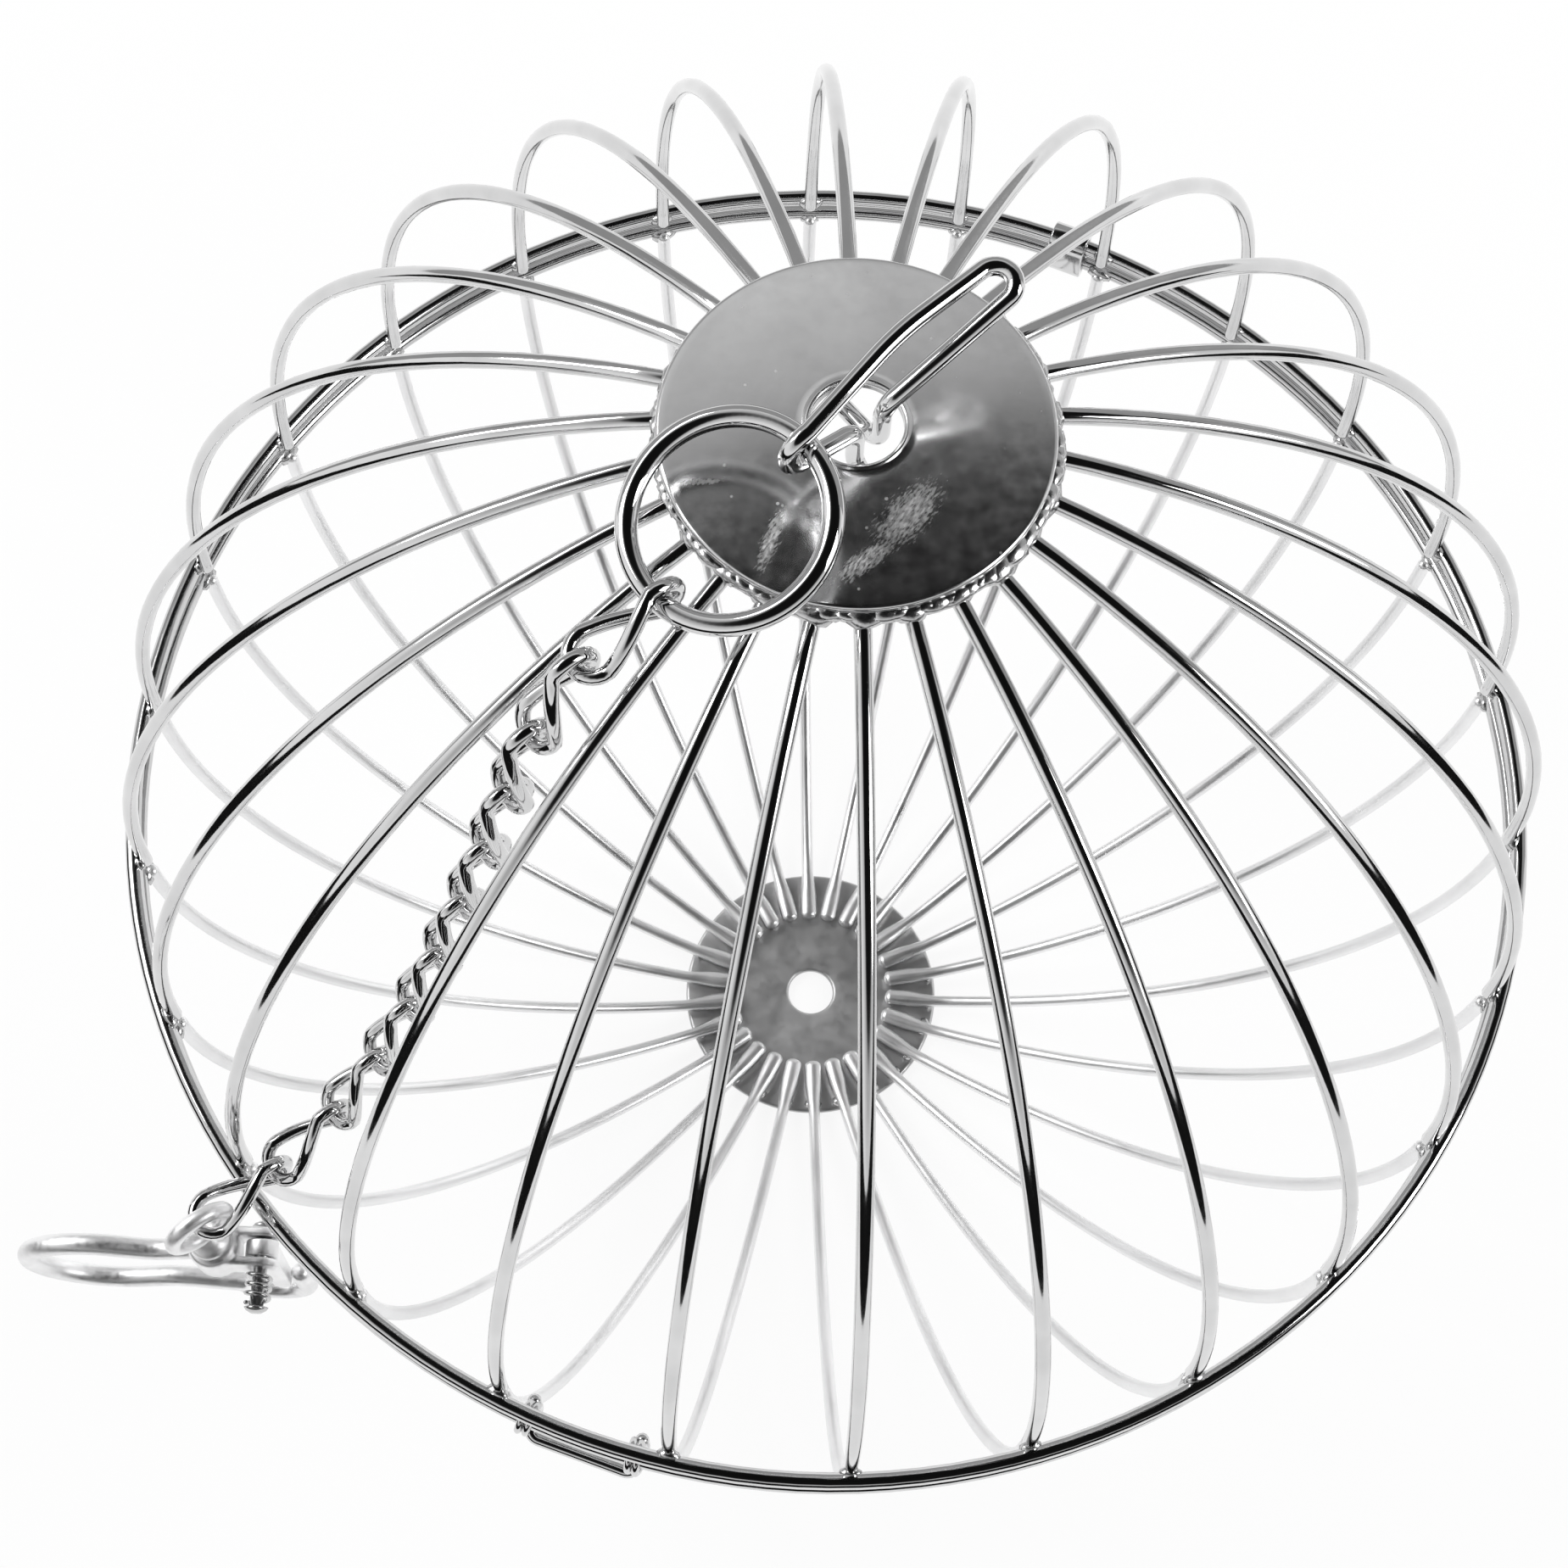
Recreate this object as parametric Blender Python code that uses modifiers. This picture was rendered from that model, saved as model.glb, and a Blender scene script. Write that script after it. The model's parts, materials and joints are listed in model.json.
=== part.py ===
"""A hanging feed ball for hens: two hinged wire half-balls, a bail, a ring, a twisted-link chain and a snap.

Units are metres and +Z is up. The ball is laid out round its own middle and then stood on its bottom plate,
with the origin under the middle of the whole assembly.
"""

import math

import bmesh
import bpy
from mathutils import Matrix, Vector

MM = 0.001

# Gaps left between pieces that touch on the real feeder
SEAT_GAP = 0.3 * MM
RUNNING_GAP = 0.25 * MM

# Wire cages
RIB_RADIUS = 77 * MM
RIB_COUNT = 26
RIB_PHASE = math.radians(3.93)
RIB_WIRE = 1.6 * MM
RIB_STEPS = 7
RIB_TAIL = 0.6 * MM
RIM_WIRE = 1.8 * MM
RIM_STEPS_PER_RIB = 2
RIB_WELD_SINK = 0.4 * MM
RIB_TIP_RADIUS = 10.5 * MM

# Plates that gather the ribs
PLATE_DIAMETER = 35 * MM
PLATE_THICKNESS = 0.9 * MM
PLATE_HOLE = 8.2 * MM
PLATE_CROWN = 0.8 * MM
PLATE_EDGE_ROUND = 0.35 * MM
HOLE_LIP_HEIGHT = 0.5 * MM
HOLE_LIP_WIDTH = 1.1 * MM
PLATE_STEPS = 32
CROWN_STEPS = 3

# Hinge clip and latch clasp, placed round the rims by counting ribs from the front one
HINGE_RIB_PLACE = 11.25
CLIP_WIDTH = 4.6 * MM
STRAP_THICKNESS = 0.8 * MM
CLASP_WIDTH = 13.5 * MM
CLASP_KNEE = 4.4 * MM
CLASP_REACH = 5.8 * MM
CLASP_OVERHANG = 1.0 * MM
CLASP_BEND = 1.2 * MM
CLASP_WIRE = 1.5 * MM
CLASP_EYE_WIDTH = 2.4 * MM
CLASP_RIB_PLACE = 24.5

# Upright plane through the bail's legs and the ring
BAIL_BEARING = math.radians(222.3)
BAIL_OFFSET = 1.5 * MM

# Upright plane that the chain hangs in, which follows the gap between two ribs
CHAIN_BEARING = math.radians(218.8)
CHAIN_OFFSET = 3.85 * MM

# Bail
BAIL_WIRE = 1.8 * MM
BAIL_LEG = 1.5 * MM
BAIL_RISE = 2.4 * MM
BAIL_APEX_BACK = 15 * MM
BAIL_APEX_HEIGHT = 10 * MM
BAIL_APEX_WIDTH = 3.4 * MM
BAIL_BEND = 2.4 * MM
BAIL_BOW = 0.8 * MM
BAIL_BOW_BEND = 40 * MM
BAIL_FOOT_DROP = 1.7 * MM
BAIL_FOOT = 5.5 * MM

# Ring
RING_WIRE = 2.0 * MM
RING_DIAMETER = 20 * MM
RING_SLOPE = math.radians(20)
RING_START = 7 * MM
RING_STEPS = 30

# Chain
LINK_COUNT = 11
LINK_WIRE = 1.4 * MM
LINK_WIDTH = 5.8 * MM
LINK_GAP = 0.35 * MM
CHAIN_RIDE = 4.6 * MM
CHAIN_DIVE_RADIUS = 34 * MM
CHAIN_DIVE_PULL = 4 * MM
CHAIN_RIM_INSET = 2.9 * MM
CHAIN_RIM_CLEARANCE = 4.0 * MM
CHAIN_RIM_PULL = 24 * MM
CHAIN_RIM_SLOPE = math.radians(-14)
LAST_LINK_SLOPE = math.radians(-6)

# Snap hook
EYE_WIRE = 1.8 * MM
EYE_RADIUS = 3.1 * MM
SHANK_DIAMETER = 2.0 * MM
SHANK_NECK = 2.6 * MM
SHANK_HEAD = 4.2 * MM
SHANK_HEAD_HEIGHT = 1.0 * MM
BOSS_DIAMETER = 5.4 * MM
BOSS_HEIGHT = 5.4 * MM
SNAP_BEARING = math.radians(181)
SNAP_WIRE = 2.4 * MM
BOW_LENGTH = 22 * MM
BOW_HEIGHT = 16.5 * MM
BOW_WAIST = 13.5 * MM
CLAW_REACH = 7.4 * MM
CLAW_TIP_RISE = 6.2 * MM
EAR_THICKNESS = 1.0 * MM
EAR_RADIUS = 2.0 * MM
GATE_THICKNESS = 1.8 * MM
GATE_WIDTH = 2.0 * MM
PIN_DIAMETER = 1.5 * MM
PIN_HEAD = 2.6 * MM
PIN_HEAD_HEIGHT = 0.6 * MM
SPRING_WIRE = 0.5 * MM
SPRING_TURNS = 3
SPRING_STEPS_PER_TURN = 8

# Sizes that follow from the ones above
RIM_SPLIT = (RIM_WIRE + STRAP_THICKNESS) / 2 + RUNNING_GAP
RIM_RADIUS = RIB_RADIUS + (RIB_WIRE + RIM_WIRE) / 2 - RIB_WELD_SINK
RIM_COUNT = RIB_COUNT * RIM_STEPS_PER_RIB
RIM_FLAT_RADIUS = RIM_RADIUS * math.cos(math.pi / RIM_COUNT)
PLATE_RADIUS = PLATE_DIAMETER / 2
RIB_SHELF = math.sqrt(RIB_RADIUS ** 2 - PLATE_RADIUS ** 2) + RIM_SPLIT
PLATE_SEAT = RIB_SHELF + RIB_WIRE / 2 + SEAT_GAP
PLATE_TOP = PLATE_SEAT + PLATE_THICKNESS + PLATE_CROWN
RING_RADIUS = (RING_DIAMETER - RING_WIRE) / 2
LINK_SEAT = LINK_WIRE + LINK_GAP
LINK_BEND = (LINK_WIDTH - LINK_WIRE) / 2

BISECT_STEPS = 40
COLLECTION = "hanging_feeder"
CUTTER_COLLECTION = "hanging_feeder_cutters"


def clear_scene():
    for old in list(bpy.data.objects):
        bpy.data.objects.remove(old, do_unlink=True)
    parts = bpy.data.collections.new(COLLECTION)
    cutters = bpy.data.collections.new(CUTTER_COLLECTION)
    for collection in (parts, cutters):
        bpy.context.scene.collection.children.link(collection)
    cutters.hide_render = True
    return parts, cutters


def plated_steel(name, grey, roughness):
    """Bright plating: a neutral metal whose grey and roughness differ a little from piece to piece."""
    material = bpy.data.materials.new(name)
    material.use_nodes = True
    shader = material.node_tree.nodes["Principled BSDF"]
    shader.inputs["Base Color"].default_value = (grey, grey, grey, 1)
    shader.inputs["Roughness"].default_value = roughness
    shader.inputs["Metallic"].default_value = 1
    return material


def smooth(mesh, angle=40):
    mesh.shade_smooth()
    mesh.set_sharp_from_angle(angle=math.radians(angle))
    return mesh


class Frame:
    """A place in the ball's frame that pieces hang from, kept so that children can be set against it."""

    def __init__(self, owner, matrix):
        self.owner = owner
        self.matrix = matrix


def attach(name, mesh, material, matrix, carrier):
    """Adds a piece under the carrier's object and returns its own frame, for what it carries in turn."""
    piece = bpy.data.objects.new(name, smooth(mesh))
    bpy.data.collections[COLLECTION].objects.link(piece)
    mesh.materials.clear()
    mesh.materials.append(material)
    piece.parent = carrier.owner
    piece.matrix_local = carrier.matrix.inverted() @ matrix
    return Frame(piece, matrix)


def add_cutter(name, mesh, carrier):
    """A helper solid in a piece's own coordinates, left out of the finished feeder."""
    cutter = bpy.data.objects.new(name, mesh)
    bpy.data.collections[CUTTER_COLLECTION].objects.link(cutter)
    cutter.parent = carrier.owner
    cutter.hide_render = True
    cutter.display_type = "WIRE"
    return cutter


def combine(carrier, mesh, operation):
    """Joins a helper solid to a piece, or cuts it away, with an exact Boolean."""
    step = len(carrier.owner.modifiers) + 1
    cutter = add_cutter(f"{carrier.owner.name}_{operation.lower()}_{step}", mesh, carrier)
    modifier = carrier.owner.modifiers.new(f"{operation.lower()}_{step}", "BOOLEAN")
    modifier.operation = operation
    modifier.solver = "EXACT"
    modifier.object = cutter


def mesh_of(data):
    """Turns a curve into a closed mesh, with its caps welded to its sides."""
    holder = bpy.data.objects.new("curve_holder", data)
    bpy.context.scene.collection.objects.link(holder)
    graph = bpy.context.evaluated_depsgraph_get()
    mesh = bpy.data.meshes.new_from_object(holder.evaluated_get(graph))
    bpy.data.objects.remove(holder, do_unlink=True)
    bpy.data.curves.remove(data)
    body = bmesh.new()
    body.from_mesh(mesh)
    bmesh.ops.remove_doubles(body, verts=body.verts, dist=0.001 * MM)
    bmesh.ops.recalc_face_normals(body, faces=body.faces)
    body.to_mesh(mesh)
    body.free()
    return mesh


def wire(paths, diameter, closed=False):
    """Round wire bent along each path, with six sides."""
    data = bpy.data.curves.new("wire", "CURVE")
    data.dimensions = "3D"
    data.bevel_depth = diameter / 2
    data.bevel_resolution = 1
    data.use_fill_caps = True
    for path in paths:
        spline = data.splines.new("POLY")
        spline.points.add(len(path) - 1)
        for point, place in zip(spline.points, path):
            point.co = (*place, 1)
        spline.use_cyclic_u = closed
    return mesh_of(data)


def flat_shape(outlines, thickness):
    """A sheet cut to closed outlines in XZ, the later ones being holes, and centred on Y."""
    data = bpy.data.curves.new("outline", "CURVE")
    data.dimensions = "2D"
    data.fill_mode = "BOTH"
    data.extrude = thickness / 2
    for outline in outlines:
        spline = data.splines.new("POLY")
        spline.points.add(len(outline) - 1)
        for point, (x, z) in zip(spline.points, outline):
            point.co = (x, z, 0, 1)
        spline.use_cyclic_u = True
    mesh = mesh_of(data)
    mesh.transform(Matrix.Rotation(math.pi / 2, 4, "X"))
    return mesh


def turned(profile, steps):
    """A solid of revolution about Z: the closed profile runs down its outer side and back up inside."""
    body = bmesh.new()
    corners = [body.verts.new((radius, 0, height)) for radius, height in profile]
    for first, second in zip(corners, corners[1:] + corners[:1]):
        body.edges.new((first, second))
    mesh = bpy.data.meshes.new("turned")
    body.to_mesh(mesh)
    body.free()
    holder = bpy.data.objects.new("turned_holder", mesh)
    bpy.context.scene.collection.objects.link(holder)
    screw = holder.modifiers.new("turn", "SCREW")
    screw.steps = screw.render_steps = steps
    screw.use_merge_vertices = True
    screw.merge_threshold = 0.001 * MM
    graph = bpy.context.evaluated_depsgraph_get()
    solid = bpy.data.meshes.new_from_object(holder.evaluated_get(graph))
    bpy.data.objects.remove(holder, do_unlink=True)
    body = bmesh.new()
    body.from_mesh(solid)
    bmesh.ops.remove_doubles(body, verts=body.verts, dist=0.001 * MM)
    bmesh.ops.recalc_face_normals(body, faces=body.faces)
    body.to_mesh(solid)
    body.free()
    return solid


def rod(diameter, start, end, sides=12):
    """A straight round bar between two points."""
    axis = Vector(end) - Vector(start)
    body = bmesh.new()
    bmesh.ops.create_cone(
        body,
        cap_ends=True,
        segments=sides,
        radius1=diameter / 2,
        radius2=diameter / 2,
        depth=axis.length,
    )
    turn = Vector((0, 0, 1)).rotation_difference(axis).to_matrix().to_4x4()
    middle = Matrix.Translation((Vector(start) + Vector(end)) / 2)
    bmesh.ops.transform(body, matrix=middle @ turn, verts=body.verts)
    mesh = bpy.data.meshes.new("rod")
    body.to_mesh(mesh)
    body.free()
    return mesh


def arc(centre, radius, start, end, steps):
    """Points on an arc in a plane, from one angle to another, both ends included."""
    turn = [start + (end - start) * step / steps for step in range(steps + 1)]
    return [(centre[0] + radius * math.cos(a), centre[1] + radius * math.sin(a)) for a in turn]


def circle(radius, steps=16):
    """A closed outline round the origin of a plane."""
    return arc((0, 0), radius, 0, 2 * math.pi, steps)[:-1]


def filleted(corners, radius, steps=4):
    """The path through these corners, with each inner corner rounded to the radius."""
    corners = [Vector(corner) for corner in corners]
    path = [corners[0]]
    for before, corner, after in zip(corners, corners[1:], corners[2:]):
        back = (before - corner).normalized()
        ahead = (after - corner).normalized()
        half = back.angle(ahead) / 2
        setback = min(radius / math.tan(half), (before - corner).length / 2, (after - corner).length / 2)
        bend = setback * math.tan(half)
        middle = corner + (back + ahead).normalized() * bend / math.sin(half)
        start = corner + back * setback - middle
        end = corner + ahead * setback - middle
        path += [middle + start.slerp(end, step / steps).normalized() * bend for step in range(steps + 1)]
    return path + [corners[-1]]


def bisect(low, high, is_short):
    """The value between two others up to which a test holds."""
    for _ in range(BISECT_STEPS):
        middle = (low + high) / 2
        if is_short(middle):
            low = middle
        else:
            high = middle
    return high


def around(bearing, radius, height=0.0):
    return Vector((radius * math.cos(bearing), radius * math.sin(bearing), height))


def rib_bearing(index):
    return -math.pi / 2 + RIB_PHASE + index * 2 * math.pi / RIB_COUNT


def upright_frame(origin, bearing, slope=0.0):
    """Axes at a point: X outwards along the bearing and up by the slope, Z up, Y across."""
    turn = Matrix.Rotation(bearing, 4, "Z") @ Matrix.Rotation(-slope, 4, "Y")
    return Matrix.Translation(origin) @ turn


def rib_profile():
    """A half rib's centre line, radius and height above its rim: up the ball, then flat under the plate."""
    tail = -math.asin(RIB_TAIL / RIB_RADIUS)
    shelf = math.acos(PLATE_RADIUS / RIB_RADIUS)
    return arc((0, 0), RIB_RADIUS, tail, shelf, RIB_STEPS) + [(RIB_TIP_RADIUS, RIB_SHELF - RIM_SPLIT)]


def make_cage(name, material, side, carrier, matrix):
    """Ribs welded inside a rim, in the matrix's coordinates. Side 1 is the upper half, -1 the lower."""
    local = matrix.inverted()
    ribs = []
    for index in range(RIB_COUNT):
        bearing = rib_bearing(index)
        ribs.append([local @ around(bearing, r, side * (z + RIM_SPLIT)) for r, z in rib_profile()])
    rim = [
        local @ around(rib_bearing(step / RIM_STEPS_PER_RIB), RIM_RADIUS, side * RIM_SPLIT)
        for step in range(RIM_COUNT)
    ]
    cage = attach(name, wire([rim], RIM_WIRE, closed=True), material, matrix, carrier)
    combine(cage, smooth(wire(ribs, RIB_WIRE)), "UNION")
    return cage


def make_bottom_plate(carrier):
    """A flat disc under the lower ribs, which the ball stands on."""
    radius = PLATE_RADIUS
    lip = PLATE_EDGE_ROUND
    top = -PLATE_SEAT
    base = top - PLATE_THICKNESS
    profile = [
        (PLATE_HOLE / 2 + lip, top),
        (radius - lip, top),
        (radius, top - lip),
        (radius, base + lip),
        (radius - lip, base),
        (PLATE_HOLE / 2, base),
        (PLATE_HOLE / 2, top - lip),
    ]
    material = plated_steel("bottom_plate_nickel", 0.52, 0.28)
    attach("bottom_plate", turned(profile, PLATE_STEPS), material, Matrix.Identity(4), carrier)


def crown_height(radius):
    """Rise of the top plate's face towards its middle."""
    return PLATE_CROWN * math.cos(math.pi / 2 * radius / PLATE_RADIUS)


def make_top_plate(carrier):
    """A crowned disc over the upper ribs, with a rolled lip round the hole that the bail goes through."""
    inner = PLATE_HOLE / 2
    outer = PLATE_RADIUS
    crown = outer - PLATE_EDGE_ROUND - inner - HOLE_LIP_WIDTH
    crown_radii = [inner + HOLE_LIP_WIDTH + crown * step / CROWN_STEPS for step in range(CROWN_STEPS + 1)]
    face = PLATE_SEAT + PLATE_THICKNESS
    upper = [(r, face + crown_height(r)) for r in crown_radii]
    lip_top = face + crown_height(inner) + HOLE_LIP_HEIGHT
    lip = [(inner, lip_top - HOLE_LIP_HEIGHT / 2), (inner + HOLE_LIP_WIDTH / 3, lip_top)]
    edge = [(outer, face - PLATE_EDGE_ROUND), (outer, PLATE_SEAT + PLATE_EDGE_ROUND / 2)]
    under = [(r, PLATE_SEAT + crown_height(r)) for r in reversed(crown_radii)]
    profile = lip + upper + edge + under + [(inner, PLATE_SEAT + crown_height(inner))]
    material = plated_steel("top_plate_nickel", 0.6, 0.14)
    attach("top_plate", turned(profile, PLATE_STEPS), material, Matrix.Identity(4), carrier)


def stadium(half_width, half_length, steps=6):
    """A closed outline with two round ends, its long way upright."""
    top = arc((0, half_length), half_width, 0, math.pi, steps)
    return top + arc((0, -half_length), half_width, math.pi, 2 * math.pi, steps)


def make_hinge_clip(carrier):
    """A strap closed round both rims. It is carried by the upper rim and turns on the lower one."""
    bore = RIM_WIRE / 2 + RUNNING_GAP
    outlines = [stadium(bore + STRAP_THICKNESS, RIM_SPLIT), stadium(bore, RIM_SPLIT)]
    bearing = rib_bearing(HINGE_RIB_PLACE)
    place = upright_frame(around(bearing, RIM_FLAT_RADIUS), bearing)
    material = plated_steel("hinge_clip_nickel", 0.62, 0.2)
    attach("hinge_clip", flat_shape(outlines, CLIP_WIDTH), material, place, carrier)


def make_latch_clasp(carrier):
    """A U of wire on two curled eyes that turn on the lower rim.

    It hangs open. Swung out and up, its legs pass outside the upper rim and its bar drops behind it.
    """
    bearing = rib_bearing(CLASP_RIB_PLACE)
    across = (CLASP_WIDTH - CLASP_WIRE) / 2
    fall_back = across * math.tan(math.pi / RIM_COUNT)
    place = upright_frame(around(bearing, RIM_RADIUS - fall_back, -RIM_SPLIT), bearing)
    bore = RIM_WIRE / 2 + RUNNING_GAP
    leg = -(bore + CLASP_WIRE / 2)
    half = [(leg, CLASP_WIRE / 2), (leg, -CLASP_KNEE), (CLASP_OVERHANG, -CLASP_REACH)]
    corners = [(x, -across, z) for x, z in half] + [(x, across, z) for x, z in reversed(half)]
    material = plated_steel("latch_clasp_nickel", 0.6, 0.2)
    clasp = attach("latch_clasp", wire([filleted(corners, CLASP_BEND)], CLASP_WIRE), material, place, carrier)
    for side in (-1, 1):
        eye = flat_shape([circle(bore + STRAP_THICKNESS), circle(bore)], CLASP_EYE_WIDTH)
        eye.transform(Matrix.Translation((0, side * across, 0)))
        combine(clasp, smooth(eye), "UNION")


def bail_point(outward, height):
    """A point of the bail's upright plane, in the ball's frame."""
    return Matrix.Rotation(BAIL_BEARING, 4, "Z") @ Vector((outward, BAIL_OFFSET, height))


def chain_point(outward, height):
    """A point of the chain's upright plane, in the ball's frame."""
    return Matrix.Rotation(CHAIN_BEARING, 4, "Z") @ Vector((outward, CHAIN_OFFSET, height))


def make_bail(carrier):
    """Wire bent to a hairpin that leans back. A curl at its front holds the ring, and its feet trap it."""
    rise = PLATE_TOP + HOLE_LIP_HEIGHT
    pivot_height = PLATE_SEAT + PLATE_CROWN - BAIL_FOOT_DROP
    curl = RING_WIRE / 2 + SEAT_GAP + BAIL_WIRE / 2
    curl_height = ring_start().z
    foot = pivot_height - PLATE_CROWN
    apex = Vector((-BAIL_APEX_BACK, -BAIL_APEX_WIDTH / 2, rise + BAIL_APEX_HEIGHT))
    curl_top = Vector((RING_START, 0, curl_height + curl))
    shoulder = (apex + curl_top) / 2 + Vector((0, -BAIL_BOW, BAIL_BOW))
    half_arm = (apex + shoulder) / 2
    back = [
        (-BAIL_LEG, -BAIL_FOOT, foot),
        (-BAIL_LEG, 0, foot),
        (-BAIL_LEG, 0, rise + BAIL_RISE),
        apex + Vector((0, BAIL_APEX_WIDTH, 0)),
        apex,
        half_arm,
    ]
    front = [
        (RING_START, 0, curl_height - curl),
        (BAIL_LEG, 0, rise + BAIL_WIRE),
        (BAIL_LEG, 0, foot),
        (BAIL_LEG, BAIL_FOOT, foot),
    ]
    bend = [(x, 0, z) for x, z in arc((RING_START, curl_height), curl, math.pi / 2, -math.pi / 2, 8)][1:-1]
    arm = filleted([half_arm, shoulder, curl_top], BAIL_BOW_BEND)[1:]
    path = filleted(back, BAIL_BEND) + arm + bend + filleted(front, BAIL_WIRE)
    place = upright_frame(bail_point(0, pivot_height), BAIL_BEARING)
    local = [Vector((x, y, z - pivot_height)) for x, y, z in path]
    material = plated_steel("bail_nickel", 0.62, 0.13)
    return attach("bail", wire([local], BAIL_WIRE), material, place, carrier)


def ring_start():
    """Middle of the ring's wire in the bail's curl.

    It is high enough for the ring to lie over the plate's edge, and for the first link to stand on the ribs.
    """
    lean = RING_RADIUS * math.sin(RING_SLOPE)
    over_edge = PLATE_SEAT + PLATE_THICKNESS + SEAT_GAP + RING_WIRE / 2 + lean
    reach = RING_START + 2 * RING_RADIUS * math.cos(RING_SLOPE)
    standing = RIB_RADIUS + RIB_WIRE / 2 + SEAT_GAP + LINK_WIDTH / 2
    over_ribs = RIM_SPLIT + math.sqrt(standing ** 2 - reach ** 2) + 2 * lean
    return bail_point(RING_START, max(over_edge, over_ribs))


def ring_frame():
    return upright_frame(ring_start(), BAIL_BEARING, -RING_SLOPE)


def make_ring(carrier):
    """A round ring that slopes down from the bail over the plate's edge."""
    place = ring_frame()
    bpy.ops.mesh.primitive_torus_add(
        major_radius=RING_RADIUS, minor_radius=RING_WIRE / 2, major_segments=RING_STEPS, minor_segments=8
    )
    donut = bpy.context.object
    mesh = donut.data
    bpy.data.objects.remove(donut, do_unlink=True)
    mesh.transform(Matrix.Translation((RING_RADIUS, 0, 0)))
    return attach("ring", mesh, plated_steel("ring_nickel", 0.62, 0.13), place, carrier)


def chain_start():
    """Place of the first link's joint, where the chain's plane cuts the ring's far side."""
    to_plane = Matrix.Rotation(-CHAIN_BEARING, 4, "Z") @ ring_frame()

    def on_ring(turn):
        return to_plane @ Vector((RING_RADIUS * (1 + math.cos(turn)), RING_RADIUS * math.sin(turn), 0))

    place = on_ring(bisect(-math.pi / 4, math.pi / 4, lambda turn: on_ring(turn).y < CHAIN_OFFSET))
    return place.x - (RING_WIRE - LINK_WIRE) / 2, place.z


def chain_route(distance):
    """A point of the chain's route: over the ribs, down through the gap between two and out to the rim."""
    ride = RIB_RADIUS + CHAIN_RIDE
    first = math.asin(chain_start()[0] / ride)
    dive = math.asin(CHAIN_DIVE_RADIUS / ride)
    arc_length = ride * (dive - first)
    if distance <= arc_length:
        angle = first + distance / ride
        return Vector((ride * math.sin(angle), RIM_SPLIT + ride * math.cos(angle)))
    corner = Vector((CHAIN_DIVE_RADIUS, RIM_SPLIT + ride * math.cos(dive)))
    end = Vector((RIM_RADIUS - CHAIN_RIM_INSET, RIM_SPLIT + RIM_WIRE / 2 + CHAIN_RIM_CLEARANCE))
    leaving = Vector((math.cos(dive), -math.sin(dive)))
    arriving = Vector((math.cos(CHAIN_RIM_SLOPE), math.sin(CHAIN_RIM_SLOPE)))
    span = (end - corner).length
    share = (distance - arc_length) / span
    if share >= 1:
        return end + arriving * (distance - arc_length - span)
    rest = 1 - share
    pull = corner + leaving * CHAIN_DIVE_PULL
    push = end - arriving * CHAIN_RIM_PULL
    return corner * rest ** 3 + (pull * rest + push * share) * 3 * rest * share + end * share ** 3


def march(pitch):
    """Joints a pitch apart along the route, from the ring to the last link but one."""
    joints = [Vector(chain_start())]
    distance = 0.0
    for _ in range(LINK_COUNT - 1):
        last = joints[-1]
        farthest = distance + 3 * pitch
        distance = bisect(distance, farthest, lambda far: (chain_route(far) - last).length < pitch)
        joints.append(chain_route(distance))
    return joints


def chain_joints():
    """The chain's joints and its pitch, chosen so that the last link but one ends just inside the rim."""
    goal = RIM_RADIUS - CHAIN_RIM_INSET
    pitch = bisect(LINK_WIDTH, 4 * LINK_WIDTH, lambda trial: march(trial)[-1].x < goal)
    joints = march(pitch)
    reach = Vector((math.cos(LAST_LINK_SLOPE), math.sin(LAST_LINK_SLOPE)))
    return joints + [joints[-1] + reach * pitch], pitch


def link_path(pitch):
    """Centre line of a twisted link: its near end stands upright and its far end lies flat."""
    half = (pitch + LINK_SEAT) / 2 - LINK_BEND
    middle = pitch - (pitch + LINK_SEAT) / 2
    flat = arc((half, 0), LINK_BEND, -math.pi / 2, math.pi / 2, 5)
    side_steps = 4
    run = [half - 2 * half * step / side_steps for step in range(1, side_steps)]
    outline = flat + [(x, LINK_BEND) for x in run]
    outline += [(-x, -y) for x, y in flat] + [(-x, -LINK_BEND) for x in run]
    path = []
    for x, y in outline:
        share = min(max((half - x) / (2 * half), 0), 1)
        twist = math.pi / 2 * share
        path.append(Vector((middle + x, y * math.cos(twist), y * math.sin(twist))))
    return path


def make_chain(carrier):
    """Twisted links, each turning on the flat end of the one before it."""
    joints, pitch = chain_joints()
    material = plated_steel("chain_nickel", 0.62, 0.16)
    for index in range(LINK_COUNT):
        run = joints[index + 1] - joints[index]
        slope = math.atan2(run.y, run.x)
        place = upright_frame(chain_point(*joints[index]), CHAIN_BEARING, slope)
        mesh = wire([link_path(pitch)], LINK_WIRE, closed=True)
        carrier = attach(f"chain_link_{index + 1:02d}", mesh, material, place, carrier)
    return carrier, chain_point(*joints[-1])


def snap_sizes():
    """Heights of the snap's levels below the joint that it hangs from."""
    eye_middle = EYE_WIRE / 2 + LINK_WIRE / 2 + SEAT_GAP - EYE_RADIUS
    eye_bottom = eye_middle - EYE_RADIUS - EYE_WIRE / 2
    boss_top = eye_bottom - SHANK_NECK
    boss_bottom = boss_top - BOSS_HEIGHT
    bow_top = boss_top - BOSS_HEIGHT / 2
    return eye_middle, boss_top, boss_bottom, bow_top


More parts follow.
